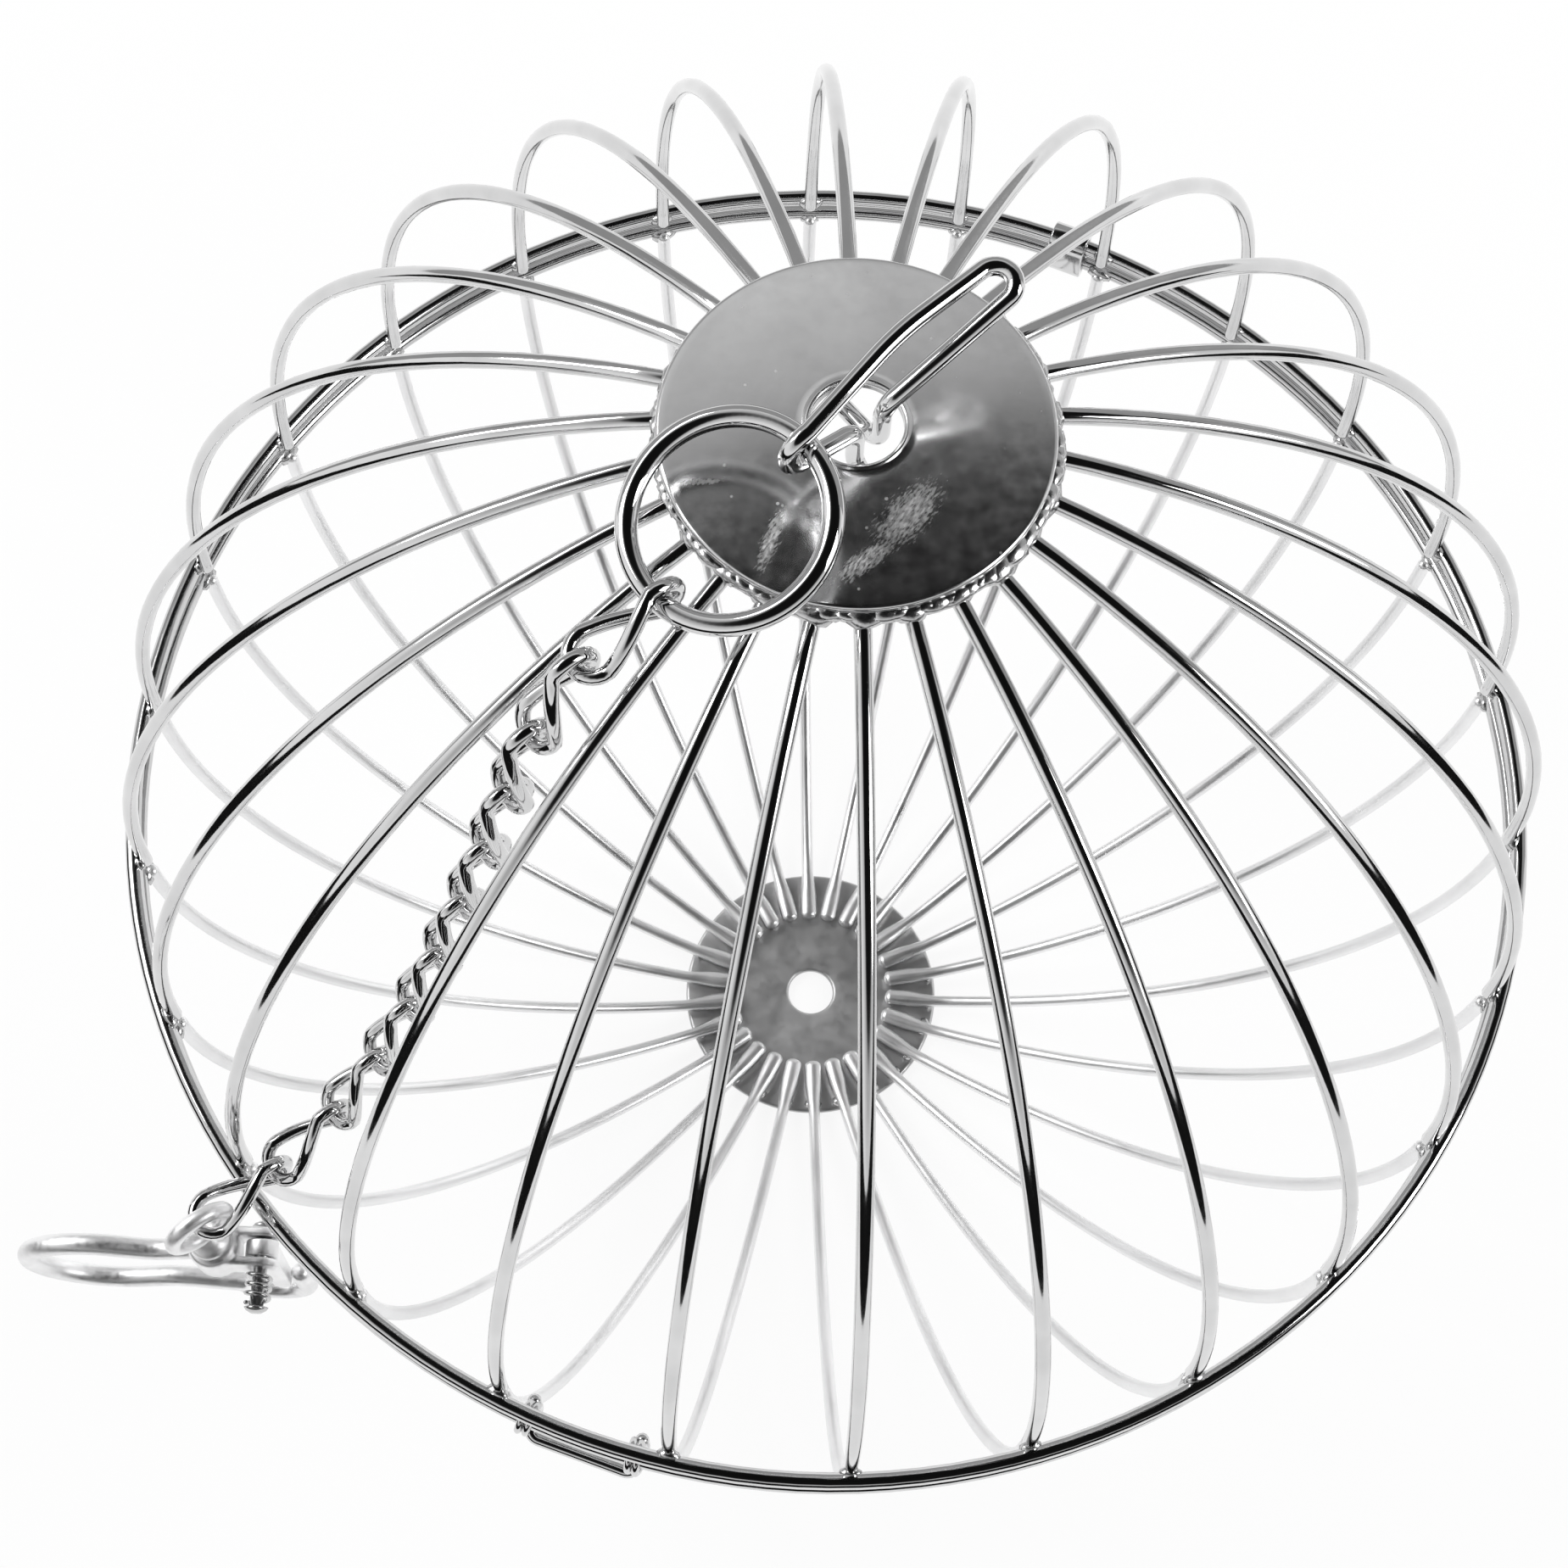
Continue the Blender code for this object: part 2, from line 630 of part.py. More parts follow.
def make_snap_eye(carrier, hang):
    """The swivel eye: a ring of wire on a shank, with a head below the boss that keeps it in."""
    eye_middle, boss_top, boss_bottom, _ = snap_sizes()
    bpy.ops.mesh.primitive_torus_add(
        major_radius=EYE_RADIUS, minor_radius=EYE_WIRE / 2, major_segments=24, minor_segments=8
    )
    donut = bpy.context.object
    mesh = donut.data
    bpy.data.objects.remove(donut, do_unlink=True)
    mesh.transform(Matrix.Translation((0, 0, eye_middle)) @ Matrix.Rotation(math.pi / 2, 4, "X"))
    place = upright_frame(hang, CHAIN_BEARING)
    eye = attach("snap_eye", mesh, plated_steel("snap_eye_nickel", 0.62, 0.18), place, carrier)
    head_top = boss_bottom - SEAT_GAP
    radius = SHANK_DIAMETER / 2
    head = SHANK_HEAD / 2
    shank = turned(
        [
            (0, eye_middle - EYE_RADIUS),
            (radius, eye_middle - EYE_RADIUS),
            (radius, head_top),
            (head, head_top),
            (head, head_top - SHANK_HEAD_HEIGHT / 2),
            (head / 2, head_top - SHANK_HEAD_HEIGHT),
            (0, head_top - SHANK_HEAD_HEIGHT),
        ],
        12,
    )
    combine(eye, smooth(shank), "UNION")
    return eye


def bow_path():
    """The snap's bent wire: out along a waisted loop, back under the boss and up to the claw's tip."""
    _, _, _, top = snap_sizes()
    middle = top - BOW_HEIGHT / 2
    low = top - BOW_HEIGHT
    squeeze = (BOW_HEIGHT - BOW_WAIST) / 2
    end_radius = BOW_HEIGHT / 2
    far = BOW_LENGTH - end_radius
    waist = far / 2

    def dip(x):
        return squeeze * (1 - math.cos(2 * math.pi * min(x / far, 1))) / 2

    steps = 8
    out = [(waist * 2 * k / steps, top - dip(waist * 2 * k / steps)) for k in range(steps)]
    end = arc((far, middle), end_radius, math.pi / 2, -math.pi / 2, 10)
    back = [(x, 2 * middle - z) for x, z in reversed(out)]
    claw_radius = CLAW_REACH / 2
    claw = arc((-claw_radius, low), claw_radius, 0, -math.pi, 8)[1:]
    return out + end + back + claw + [(-CLAW_REACH, low + CLAW_TIP_RISE)]


def gate_pivot():
    """Middle of the gate's pin, beside the boss on the claw's side."""
    _, boss_top, boss_bottom, _ = snap_sizes()
    return -(BOSS_DIAMETER / 2 + EAR_RADIUS + SEAT_GAP), (boss_top + boss_bottom) / 2


def make_snap_frame(eye):
    """Boss, bow and claw in one casting, with a pair of ears for the gate."""
    _, boss_top, boss_bottom, _ = snap_sizes()
    radius = BOSS_DIAMETER / 2
    bore = SHANK_DIAMETER / 2 + SEAT_GAP
    wall_middle = (bore + radius) / 2
    soft = min(BOSS_HEIGHT / 6, (radius - bore) / 3)
    boss = turned(
        [
            (bore, boss_top),
            (radius - 2 * soft, boss_top),
            (radius, boss_top - 2 * soft),
            (radius, boss_bottom + soft),
            (radius - soft, boss_bottom),
            (bore, boss_bottom),
        ],
        24,
    )
    place = upright_frame(eye.matrix.translation, SNAP_BEARING)
    frame = attach("snap_frame", boss, plated_steel("snap_frame_nickel", 0.7, 0.24), place, eye)
    start = (bore + math.sqrt(radius ** 2 - (SNAP_WIRE / 2) ** 2)) / 2
    bow = [Vector((x, 0, z)) for x, z in bow_path() if x >= start or z < boss_bottom]
    bow[0].x = start
    combine(frame, smooth(wire([bow], SNAP_WIRE)), "UNION")
    pivot_x, pivot_z = gate_pivot()
    for side in (-1, 1):
        across = side * (GATE_THICKNESS + EAR_THICKNESS + 2 * RUNNING_GAP) / 2
        inner = -math.sqrt(max(wall_middle ** 2 - across ** 2, 0))
        ear_round = arc((pivot_x, pivot_z), EAR_RADIUS, math.pi / 2, 3 * math.pi / 2, 8)
        outline = ear_round + [(inner, pivot_z - EAR_RADIUS), (inner, pivot_z + EAR_RADIUS)]
        ear = flat_shape([outline], EAR_THICKNESS)
        ear.transform(Matrix.Translation((0, across, 0)))
        combine(frame, ear, "UNION")
    reach = GATE_THICKNESS + 2 * EAR_THICKNESS
    bore_pin = rod(PIN_DIAMETER + 2 * RUNNING_GAP, (pivot_x, -reach, pivot_z), (pivot_x, reach, pivot_z))
    combine(frame, bore_pin, "DIFFERENCE")
    return frame


def make_gate(frame):
    """A flat lever that closes the mouth between the boss and the claw's tip, from inside the claw."""
    pivot_x, pivot_z = gate_pivot()
    _, _, _, top = snap_sizes()
    tip_x = -CLAW_REACH + SNAP_WIRE / 2 + SEAT_GAP + GATE_WIDTH / 2
    tip_z = top - BOW_HEIGHT + CLAW_TIP_RISE / 3
    lean = math.atan2(tip_x - pivot_x, pivot_z - tip_z)
    length = math.hypot(tip_x - pivot_x, pivot_z - tip_z)
    knuckle = EAR_RADIUS - RUNNING_GAP
    outline = arc((0, 0), knuckle, math.radians(-30), math.radians(210), 10)
    outline += arc((0, -length), GATE_WIDTH / 2, math.pi, 2 * math.pi, 6)
    hole = circle(PIN_DIAMETER / 2 + RUNNING_GAP, 12)
    place = frame.matrix @ Matrix.Translation((pivot_x, 0, pivot_z)) @ Matrix.Rotation(-lean, 4, "Y")
    material = plated_steel("snap_gate_nickel", 0.66, 0.2)
    return attach("snap_gate", flat_shape([outline, hole], GATE_THICKNESS), material, place, frame)


def make_pin(frame):
    """The rivet that the gate turns on, headed at both ends. Its near end also carries the spring."""
    pivot_x, pivot_z = gate_pivot()
    ears = GATE_THICKNESS / 2 + RUNNING_GAP + EAR_THICKNESS
    coil = SPRING_TURNS * (SPRING_WIRE + 2 * RUNNING_GAP) + SPRING_WIRE
    ends = (-(ears + SEAT_GAP + coil + SEAT_GAP), ears + SEAT_GAP)
    place = frame.matrix @ Matrix.Translation((pivot_x, 0, pivot_z)) @ Matrix.Rotation(math.pi / 2, 4, "X")
    radius = PIN_DIAMETER / 2
    head = PIN_HEAD / 2
    profile = [
        (0, ends[1] + PIN_HEAD_HEIGHT),
        (head / 2, ends[1] + PIN_HEAD_HEIGHT),
        (head, ends[1]),
        (radius, ends[1]),
        (radius, ends[0]),
        (head, ends[0]),
        (head / 2, ends[0] - PIN_HEAD_HEIGHT),
        (0, ends[0] - PIN_HEAD_HEIGHT),
    ]
    attach("gate_pin", turned(profile, 12), plated_steel("gate_pin_steel", 0.55, 0.25), place, frame)
    return coil


def least_gap(path):
    """Least clear distance between stretches of the coil that lie over half a turn apart."""
    apart = SPRING_STEPS_PER_TURN // 2 + 1
    return min(
        (first - second).length
        for index, first in enumerate(path)
        for second in path[index + apart:]
    ) - SPRING_WIRE


def make_spring(frame, coil):
    """A small torsion coil round the pin's near end, one leg lying down along the gate's side."""
    pivot_x, pivot_z = gate_pivot()
    radius = PIN_DIAMETER / 2 + RUNNING_GAP + SPRING_WIRE / 2
    start = GATE_THICKNESS / 2 + RUNNING_GAP + EAR_THICKNESS + SEAT_GAP + SPRING_WIRE / 2
    steps = SPRING_STEPS_PER_TURN * SPRING_TURNS
    pitch = (coil - SPRING_WIRE) / SPRING_TURNS
    path = [Vector((radius, start, -2 * radius))]
    for step in range(steps + 1):
        turns = step / SPRING_STEPS_PER_TURN
        turn = 2 * math.pi * turns
        path.append(Vector((radius * math.cos(turn), start + pitch * turns, radius * math.sin(turn))))
    place = frame.matrix @ Matrix.Translation((pivot_x, 0, pivot_z))
    print(f"gate spring: least gap to itself {least_gap(path) / MM:.2f} mm")
    attach("gate_spring", wire([path], SPRING_WIRE), plated_steel("spring_steel", 0.5, 0.3), place, frame)


def stand_on_origin(root):
    """Moves the whole feeder so that the origin is under the middle of it, on the plane that it stands on."""
    bpy.context.view_layer.update()
    graph = bpy.context.evaluated_depsgraph_get()
    low = Vector((math.inf,) * 3)
    high = -low
    for piece in bpy.data.collections[COLLECTION].objects:
        if piece.type != "MESH":
            continue
        shaped = piece.evaluated_get(graph)
        for vertex in shaped.to_mesh().vertices:
            place = shaped.matrix_world @ vertex.co
            low = Vector(map(min, low, place))
            high = Vector(map(max, high, place))
        shaped.to_mesh_clear()
    root.location = (-(low.x + high.x) / 2, -(low.y + high.y) / 2, -low.z)


def main():
    parts, _ = clear_scene()
    root = bpy.data.objects.new("feeder_root", None)
    parts.objects.link(root)
    ball = Frame(root, Matrix.Identity(4))
    cage_grey = plated_steel("cage_nickel", 0.6, 0.16)
    lower = make_cage("lower_cage", cage_grey, -1, ball, Matrix.Identity(4))
    make_bottom_plate(lower)
    bearing = rib_bearing(HINGE_RIB_PLACE)
    hinge = upright_frame(around(bearing, RIM_FLAT_RADIUS, -RIM_SPLIT), bearing)
    upper = make_cage("upper_cage", cage_grey, 1, lower, hinge)
    make_top_plate(upper)
    make_hinge_clip(upper)
    make_latch_clasp(lower)
    bail = make_bail(upper)
    ring = make_ring(bail)
    last_link, hang = make_chain(ring)
    eye = make_snap_eye(last_link, hang)
    frame = make_snap_frame(eye)
    make_gate(frame)
    coil = make_pin(frame)
    make_spring(frame, coil)
    stand_on_origin(root)


main()
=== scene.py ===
# %% [markdown]
# # A hanging feed ball for hens
# Two half-balls of plated wire, hinged at their rims, hold hay or greens. A bail, a ring and a chain of
# twisted links hang the ball from a snap. The working model already has every piece at its real size and
# on its real joint. This lesson dresses that model: finer wire, weld beads, plated finishes, a studio and
# a camera.

import json
import math
import random

import bmesh
import bpy
from mathutils import Matrix, Vector, noise


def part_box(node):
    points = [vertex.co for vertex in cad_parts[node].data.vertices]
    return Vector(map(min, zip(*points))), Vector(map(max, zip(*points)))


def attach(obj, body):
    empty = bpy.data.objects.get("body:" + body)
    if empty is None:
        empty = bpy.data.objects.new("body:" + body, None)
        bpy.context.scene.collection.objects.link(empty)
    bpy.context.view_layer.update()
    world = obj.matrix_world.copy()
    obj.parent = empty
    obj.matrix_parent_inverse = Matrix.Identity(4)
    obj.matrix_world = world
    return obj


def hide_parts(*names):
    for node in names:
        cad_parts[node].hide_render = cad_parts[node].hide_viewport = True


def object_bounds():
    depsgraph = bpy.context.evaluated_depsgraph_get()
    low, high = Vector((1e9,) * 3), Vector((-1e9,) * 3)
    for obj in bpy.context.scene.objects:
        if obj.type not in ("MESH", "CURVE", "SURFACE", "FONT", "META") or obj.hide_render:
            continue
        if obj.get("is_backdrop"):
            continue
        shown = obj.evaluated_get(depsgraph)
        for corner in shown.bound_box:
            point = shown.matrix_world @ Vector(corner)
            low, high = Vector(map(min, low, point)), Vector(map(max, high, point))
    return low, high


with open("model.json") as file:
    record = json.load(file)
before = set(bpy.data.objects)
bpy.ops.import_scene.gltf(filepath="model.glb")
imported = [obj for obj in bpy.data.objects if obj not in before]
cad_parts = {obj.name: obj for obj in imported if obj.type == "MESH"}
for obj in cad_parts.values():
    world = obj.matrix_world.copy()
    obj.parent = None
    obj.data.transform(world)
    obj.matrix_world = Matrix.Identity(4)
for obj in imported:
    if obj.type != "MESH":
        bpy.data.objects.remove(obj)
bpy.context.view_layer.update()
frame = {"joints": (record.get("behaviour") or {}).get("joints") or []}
MM = 0.001
joints = {joint["name"]: joint for joint in frame["joints"]}

# %% [markdown]
# ## Where the ball is
# Every wire is placed round the ball's middle. The two cages are alike, so the middle is halfway between
# them. It could be typed in, but reading it from the model keeps the dressing in step with the pieces.

# %% Find the ball's middle
lower_low, lower_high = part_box("lower_cage")
upper_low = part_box("upper_cage")[0]
BALL = Vector((
    (lower_low.x + lower_high.x) / 2,
    (lower_low.y + lower_high.y) / 2,
    (lower_high.z + upper_low.z) / 2,
))


def around(bearing, radius, height):
    """A point by its compass bearing round the ball, its distance from the axis and its height."""
    return BALL + Vector((radius * math.cos(bearing), radius * math.sin(bearing), height))


print(f"ball's middle at {[round(value / MM, 2) for value in BALL]} mm")

# %% [markdown]
# ## Bent wire
# Nearly the whole feeder is round wire. Wire could be a skin modifier on a string of edges, or a circle
# moved along a path by hand. A beveled curve is chosen: the path carries the bend, the bevel carries the
# thickness, and each can change alone. A cut end of plated wire is never sharp, so open ends shrink to a
# round tip over their last radius. The curve becomes a mesh at once, so that every piece exports alike.

# %% Round tips for open wire
TIP_STEPS = 5
TIP_POINT = 0.04


def tipped(path, radius):
    """Points and thickness shares of a path whose two ends are rounded off."""
    turns = [math.pi / 2 * step / TIP_STEPS for step in range(TIP_STEPS + 1)]
    shares = [(1 - math.cos(turn), max(math.sin(turn), TIP_POINT)) for turn in turns]
    first = (path[1] - path[0]).normalized()
    last = (path[-2] - path[-1]).normalized()
    start = [(path[0] + first * radius * along, share) for along, share in shares]
    end = [(path[-1] + last * radius * along, share) for along, share in reversed(shares)]
    middle = [(point, 1.0) for point in path[1:-1]
              if (point - path[0]).length > radius and (point - path[-1]).length > radius]
    return start + middle + end


print(f"wire ends are rounded in {TIP_STEPS} steps")

# %% Wire along a path


def finished_mesh(holder):
    """The mesh that an object shows with its bevel and modifiers worked out. The object itself goes."""
    bpy.context.scene.collection.objects.link(holder)
    shown = holder.evaluated_get(bpy.context.evaluated_depsgraph_get())
    mesh = bpy.data.meshes.new_from_object(shown)
    bpy.data.objects.remove(holder, do_unlink=True)
    return mesh


def bent_wire(name, paths, diameter, closed=False, sides=12):
    """One mesh of round wire along each path."""
    data = bpy.data.curves.new(name, "CURVE")
    data.dimensions = "3D"
    data.bevel_depth = diameter / 2
    data.bevel_resolution = sides // 2 - 2
    data.use_fill_caps = True
    for path in paths:
        path = [Vector(point) for point in path]
        shaped = [(point, 1.0) for point in path] if closed else tipped(path, diameter / 2)
        spline = data.splines.new("POLY")
        spline.points.add(len(shaped) - 1)
        for point, (place, share) in zip(spline.points, shaped):
            point.co = (*place, 1)
            point.radius = share
        spline.use_cyclic_u = closed
    mesh = finished_mesh(bpy.data.objects.new(name + "_path", data))
    bpy.data.curves.remove(data)
    mesh.shade_smooth()
    return mesh


print("ready to bend wire")

# %% [markdown]
# ## Nickel plating
# Bright nickel is a neutral metal. A plain metal shader would do from far off, but on wire this thin the
# finish is told by what it mirrors, so the nodes break the mirror up: cloudy patches in the tone, a fine
# grain in the roughness and a shallow bump for drawing marks. The lower ribs are the same wire, but they are
# more satin, and their paler tone is painted light: it stands in for the brighter, washed-out look of the
# far ribs seen through the cage. Metallic is the same all over, so it is set on the shader's own socket.

# %% Helpers for shader nodes


def fill(tree, node, inputs):
    """Sets a node's inputs: a number or colour is written in, another node's output is linked."""
    for socket, value in inputs.items():
        if isinstance(value, bpy.types.NodeSocket):
            tree.links.new(value, node.inputs[socket])
        else:
            node.inputs[socket].default_value = value


def add_node(tree, kind, inputs, **settings):
    """A new shader node, with its settings chosen first and its inputs filled in after."""
    node = tree.nodes.new("ShaderNode" + kind)
    for setting, value in settings.items():
        setattr(node, setting, value)
    fill(tree, node, inputs)
    return node


def larger(tree, first, second):
    """An output that is the larger of two."""
    return add_node(tree, "Math", {0: first, 1: second}, operation="MAXIMUM").outputs["Value"]


def new_finish(name):
    """A material, its node tree and its main shader."""
    finish = bpy.data.materials.new(name)
    finish.use_nodes = True
    return finish, finish.node_tree, finish.node_tree.nodes["Principled BSDF"]


print("ready to join shader nodes")

# %% Plated finishes
CLOUD_TONES = ((0.3, 0.9), (0.7, 1.03))
BLUE_CAST = 1.004
GLOSSIEST, DULLEST = 0.55, 1.5
RELIEF_DEPTH = 0.05 * MM


def plating(name, tone, roughness, grain=900.0, ripple=0.04):
    """A nickel finish: tone and roughness vary over the surface by procedural noise."""
    finish, tree, shader = new_finish(name)
    place = add_node(tree, "TexCoord", {}).outputs["Object"]
    clouds = add_node(tree, "TexNoise", {"Vector": place, "Scale": grain / 6, "Detail": 3.0})
    tones = add_node(tree, "ValToRGB", {"Fac": clouds.outputs["Fac"]})
    for element, (position, share) in zip(tones.color_ramp.elements, CLOUD_TONES):
        shade = min(tone * share, 1.0)
        element.position = position
        element.color = (shade, shade, shade * BLUE_CAST, 1)
    fine = add_node(tree, "TexNoise", {"Vector": place, "Scale": grain, "Detail": 5.0}).outputs["Fac"]
    gloss = add_node(tree, "MapRange", {
        "Value": fine, "To Min": roughness * GLOSSIEST, "To Max": roughness * DULLEST})
    relief = add_node(tree, "Bump", {"Height": fine, "Strength": ripple, "Distance": RELIEF_DEPTH})
    fill(tree, shader, {
        "Metallic": 1.0, "Base Color": tones.outputs["Color"],
        "Roughness": gloss.outputs["Result"], "Normal": relief.outputs["Normal"]})
    return finish


cage_nickel = plating("cage_nickel", 0.68, 0.08)
# The lower ribs' higher tone (0.88 against 0.68) is painted light, not a different plating: a paler copy of
# the same wire.
lower_cage_painted_light_nickel = plating("lower_cage_painted_light_nickel", 0.88, 0.34, grain=260.0, ripple=0.01)
weld_nickel = plating("weld_nickel", 0.62, 0.22, grain=2600.0, ripple=0.5)
chain_nickel = plating("chain_nickel", 0.7, 0.06)
bail_nickel = plating("bail_nickel", 0.72, 0.05)
snap_nickel = plating("snap_nickel", 0.94, 0.42, grain=1400.0, ripple=0.1)
fitting_nickel = plating("fitting_nickel", 0.68, 0.1)
spring_steel = plating("spring_steel", 0.6, 0.18)
print("made the plated finishes")

# %% [markdown]
# ## Seating a piece
# Each dressed piece rides on the body that carries it, stands for its plain piece of the working model and
# names the finish that it belongs to. One helper does all of this, so that no piece can miss a step.

# %% A helper that seats a piece


def seat(name, mesh, finish, body, stands_for):
    """Adds a dressed piece to the scene on its body."""
    piece = bpy.data.objects.new(name, mesh)
    bpy.context.scene.collection.objects.link(piece)
    mesh.materials.clear()
    mesh.materials.append(finish)
    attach(piece, body)
    if stands_for:
        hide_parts(stands_for)


print("ready to seat pieces")

# %% [markdown]
# ## The wire cages
# Each half is a rim with ribs welded inside it. A rib is an arc of the ball that flattens out where the
# plate gathers it. One rib could be made and copied by an array, but drawing each from its bearing keeps
# the two halves in one loop. The arcs have many short steps, because a bright wire shows every kink in its
# reflections.

# %% Rib and rim lines
RIB_COUNT = 26
RIB_PITCH = 2 * math.pi / RIB_COUNT
FRONT_RIB = math.radians(-86.07)
RIB_RADIUS = 77 * MM
RIB_WIRE = 1.6 * MM
RIB_OVERLAP = 0.6 * MM
RIB_TIP_RADIUS = 10.5 * MM
RIB_STEPS = 34
RIM_RADIUS = 78.3 * MM
RIM_WIRE = 1.8 * MM
RIM_SPLIT = 1.55 * MM
RIM_STEPS = 156
PLATE_RADIUS = 17.5 * MM
RIB_SHELF = math.sqrt(RIB_RADIUS ** 2 - PLATE_RADIUS ** 2)


def rib_bearing(index):
    """The bearing of a rib, counted from the front one. A part of a number lies between two ribs."""
    return FRONT_RIB + index * RIB_PITCH


def rib_path(bearing, side):
    """A rib's centre line from its rim to its tip under the plate."""
    lowest = -math.asin(RIB_OVERLAP / RIB_RADIUS)
    shelf = math.acos(PLATE_RADIUS / RIB_RADIUS)
    profile = []
    for step in range(RIB_STEPS + 1):
        angle = lowest + (shelf - lowest) * step / RIB_STEPS
        profile.append((RIB_RADIUS * math.cos(angle), RIB_RADIUS * math.sin(angle)))
    profile += [((PLATE_RADIUS + RIB_TIP_RADIUS) / 2, RIB_SHELF), (RIB_TIP_RADIUS, RIB_SHELF)]
    return [around(bearing, radius, side * (height + RIM_SPLIT)) for radius, height in profile]


def rim_path(side):
    """The ring that closes one half, just clear of the other half's ring."""
    turns = [2 * math.pi * step / RIM_STEPS for step in range(RIM_STEPS)]
    return [around(turn, RIM_RADIUS, side * RIM_SPLIT) for turn in turns]


print(f"a rib reaches {RIB_SHELF / MM:.1f} mm from its rim to its plate")

# %% [markdown]
# ## Pressed rib ends
# Welding presses the ribs' ends wide on the plates, so each ends like a small paddle. A second, flatter
# curve for the ends alone would leave a seam. It is simpler to move the finished mesh: near the axis, every
# vertex goes further aside from its own rib's line.

# %% Press the ends and bend both cages
HALVES = (("upper", 1), ("lower", -1))
# The lower ribs take the nickel whose paler tone is painted light.
RIB_FINISH = {"upper": cage_nickel, "lower": lower_cage_painted_light_nickel}
PRESS_SPREAD = 0.45
PRESS_START = PLATE_RADIUS - 1.0 * MM
PRESS_RUN = 2.5 * MM


def press_tips(ribs):
    """Spreads the ribs' ends sideways, as the weld that holds them to the plate leaves them."""
    for vertex in ribs.vertices:
        arm = vertex.co - BALL
        radius = math.hypot(arm.x, arm.y)
        bearing = math.atan2(arm.y, arm.x)
        own_rib = rib_bearing(round((bearing - FRONT_RIB) / RIB_PITCH))
        share = min(max((PRESS_START - radius) / PRESS_RUN, 0), 1)
        along = radius * math.cos(bearing - own_rib)
        aside = radius * math.sin(bearing - own_rib) * (1 + PRESS_SPREAD * share)
        vertex.co.x = BALL.x + along * math.cos(own_rib) - aside * math.sin(own_rib)
        vertex.co.y = BALL.y + along * math.sin(own_rib) + aside * math.cos(own_rib)


for half, side in HALVES:
    paths = [rib_path(rib_bearing(k), side) for k in range(RIB_COUNT)]
    ribs = bent_wire(f"{half}_ribs", paths, RIB_WIRE)
    press_tips(ribs)
    seat(f"{half}_ribs", ribs, RIB_FINISH[half], f"{half}_half", f"{half}_cage")
    rim = bent_wire(f"{half}_rim", [rim_path(side)], RIM_WIRE, closed=True)
    seat(f"{half}_rim", rim, cage_nickel, f"{half}_half", None)
print(f"bent {2 * RIB_COUNT} ribs and two rims")

# %% [markdown]
# ## Weld beads
# Every rib is spot-welded to its rim, and the weld leaves a small lump. Metaballs could melt into such
# lumps, but they are hard to place exactly. A sphere pushed about by noise makes one, drawn out along the
# rim. No two are alike, and a fixed seed keeps them the same on every run.

# %% A helper for lumpy beads
chance = random.Random(7)
LUMP_RATE = 1.6
LUMP_DEPTH = 0.28
NOISE_SPAN = 50


def mesh_of(name, body):
    """A smooth mesh from a bmesh, which is freed."""
    mesh = bpy.data.meshes.new(name)
    body.to_mesh(mesh)
    body.free()
    mesh.shade_smooth()
    return mesh


def add_bead(body, centre, turn, sizes):
    """One lumpy bead: an icosphere, scaled, turned and pushed about by noise."""
    made = bmesh.ops.create_icosphere(body, subdivisions=2, radius=1.0)
    shift = Vector([chance.uniform(0, NOISE_SPAN) for _ in range(3)])
    for vertex in made["verts"]:
        swell = 1 + LUMP_DEPTH * noise.noise(vertex.co * LUMP_RATE + shift)
        local = Vector([value * size * swell for value, size in zip(vertex.co, sizes)])
        vertex.co = centre + turn @ local


def bead_mesh(name, beads):
    """One mesh of beads, each given by its centre, its bearing and its half sizes."""
    body = bmesh.new()
    for centre, bearing, sizes in beads:
        add_bead(body, centre, Matrix.Rotation(bearing, 3, "Z"), sizes)
    return mesh_of(name, body)


print("ready to make beads")

# %% Beads where ribs meet rims
RIM_BEAD = (0.75 * MM, 1.35 * MM, 0.8 * MM)
RIM_BEAD_INSET = 0.75 * MM
RIM_BEAD_SHIFT = (-0.1 * MM, 0.5 * MM)
RIM_BEAD_GROWTH = (0.85, 1.2)
for half, side in HALVES:
    beads = []
    for k in range(RIB_COUNT):
        bearing = rib_bearing(k)
        height = side * (RIM_SPLIT + chance.uniform(*RIM_BEAD_SHIFT))
        centre = around(bearing, RIM_RADIUS - RIM_BEAD_INSET, height)
        grow = chance.uniform(*RIM_BEAD_GROWTH)
        beads.append((centre, bearing, [size * grow for size in RIM_BEAD]))
    mesh = bead_mesh(f"{half}_rim_beads", beads)
    seat(f"{half}_rim_beads", mesh, weld_nickel, f"{half}_half", None)
print(f"welded {2 * RIB_COUNT} ribs")

# %% [markdown]
# ## The plates' finish
# The plates are pressed from bright sheet, so they mirror more plainly than the wire, and the top one shows
# its wear: four scuffs that scatter the light, and specks of dust. A painted mask would need an image. Here
# each scuff is a soft oval band, measured from its own middle, and brushed noise is added to it: where the
# band is strong it stays whole, and towards its edge only the noise's peaks are left. Scuffs and specks
# raise the tone and the roughness.

# %% A helper for scuffs
SCUFF_DEPTH = 10 * MM
SCUFF_CORE = 0.15
BRUSH_ANGLE = math.radians(54)
BRUSH_STRETCH = 3
BRUSH_GRAIN = 5600.0
BRUSH_DEPTH = 0.45
DUST_GRAIN = 420.0
DUST_EDGE, DUST_CORE = 0.08, 0.04
DUST_STRENGTH = 0.7


def scuff_band(tree, place, middle, angle, length, width):
    """A soft oval on the plate, 1 in its core and 0 outside."""
    local = add_node(tree, "Mapping", {
        "Vector": place, "Location": middle, "Rotation": (0, 0, angle),
        "Scale": (length / 2, width / 2, SCUFF_DEPTH)}, vector_type="TEXTURE")
    reach = add_node(tree, "VectorMath", {0: local.outputs["Vector"]}, operation="LENGTH")
    fade = add_node(tree, "MapRange", {
        "Value": reach.outputs["Value"], "From Min": 1.0, "From Max": SCUFF_CORE},
        interpolation_type="SMOOTHSTEP")
    return fade.outputs["Result"]


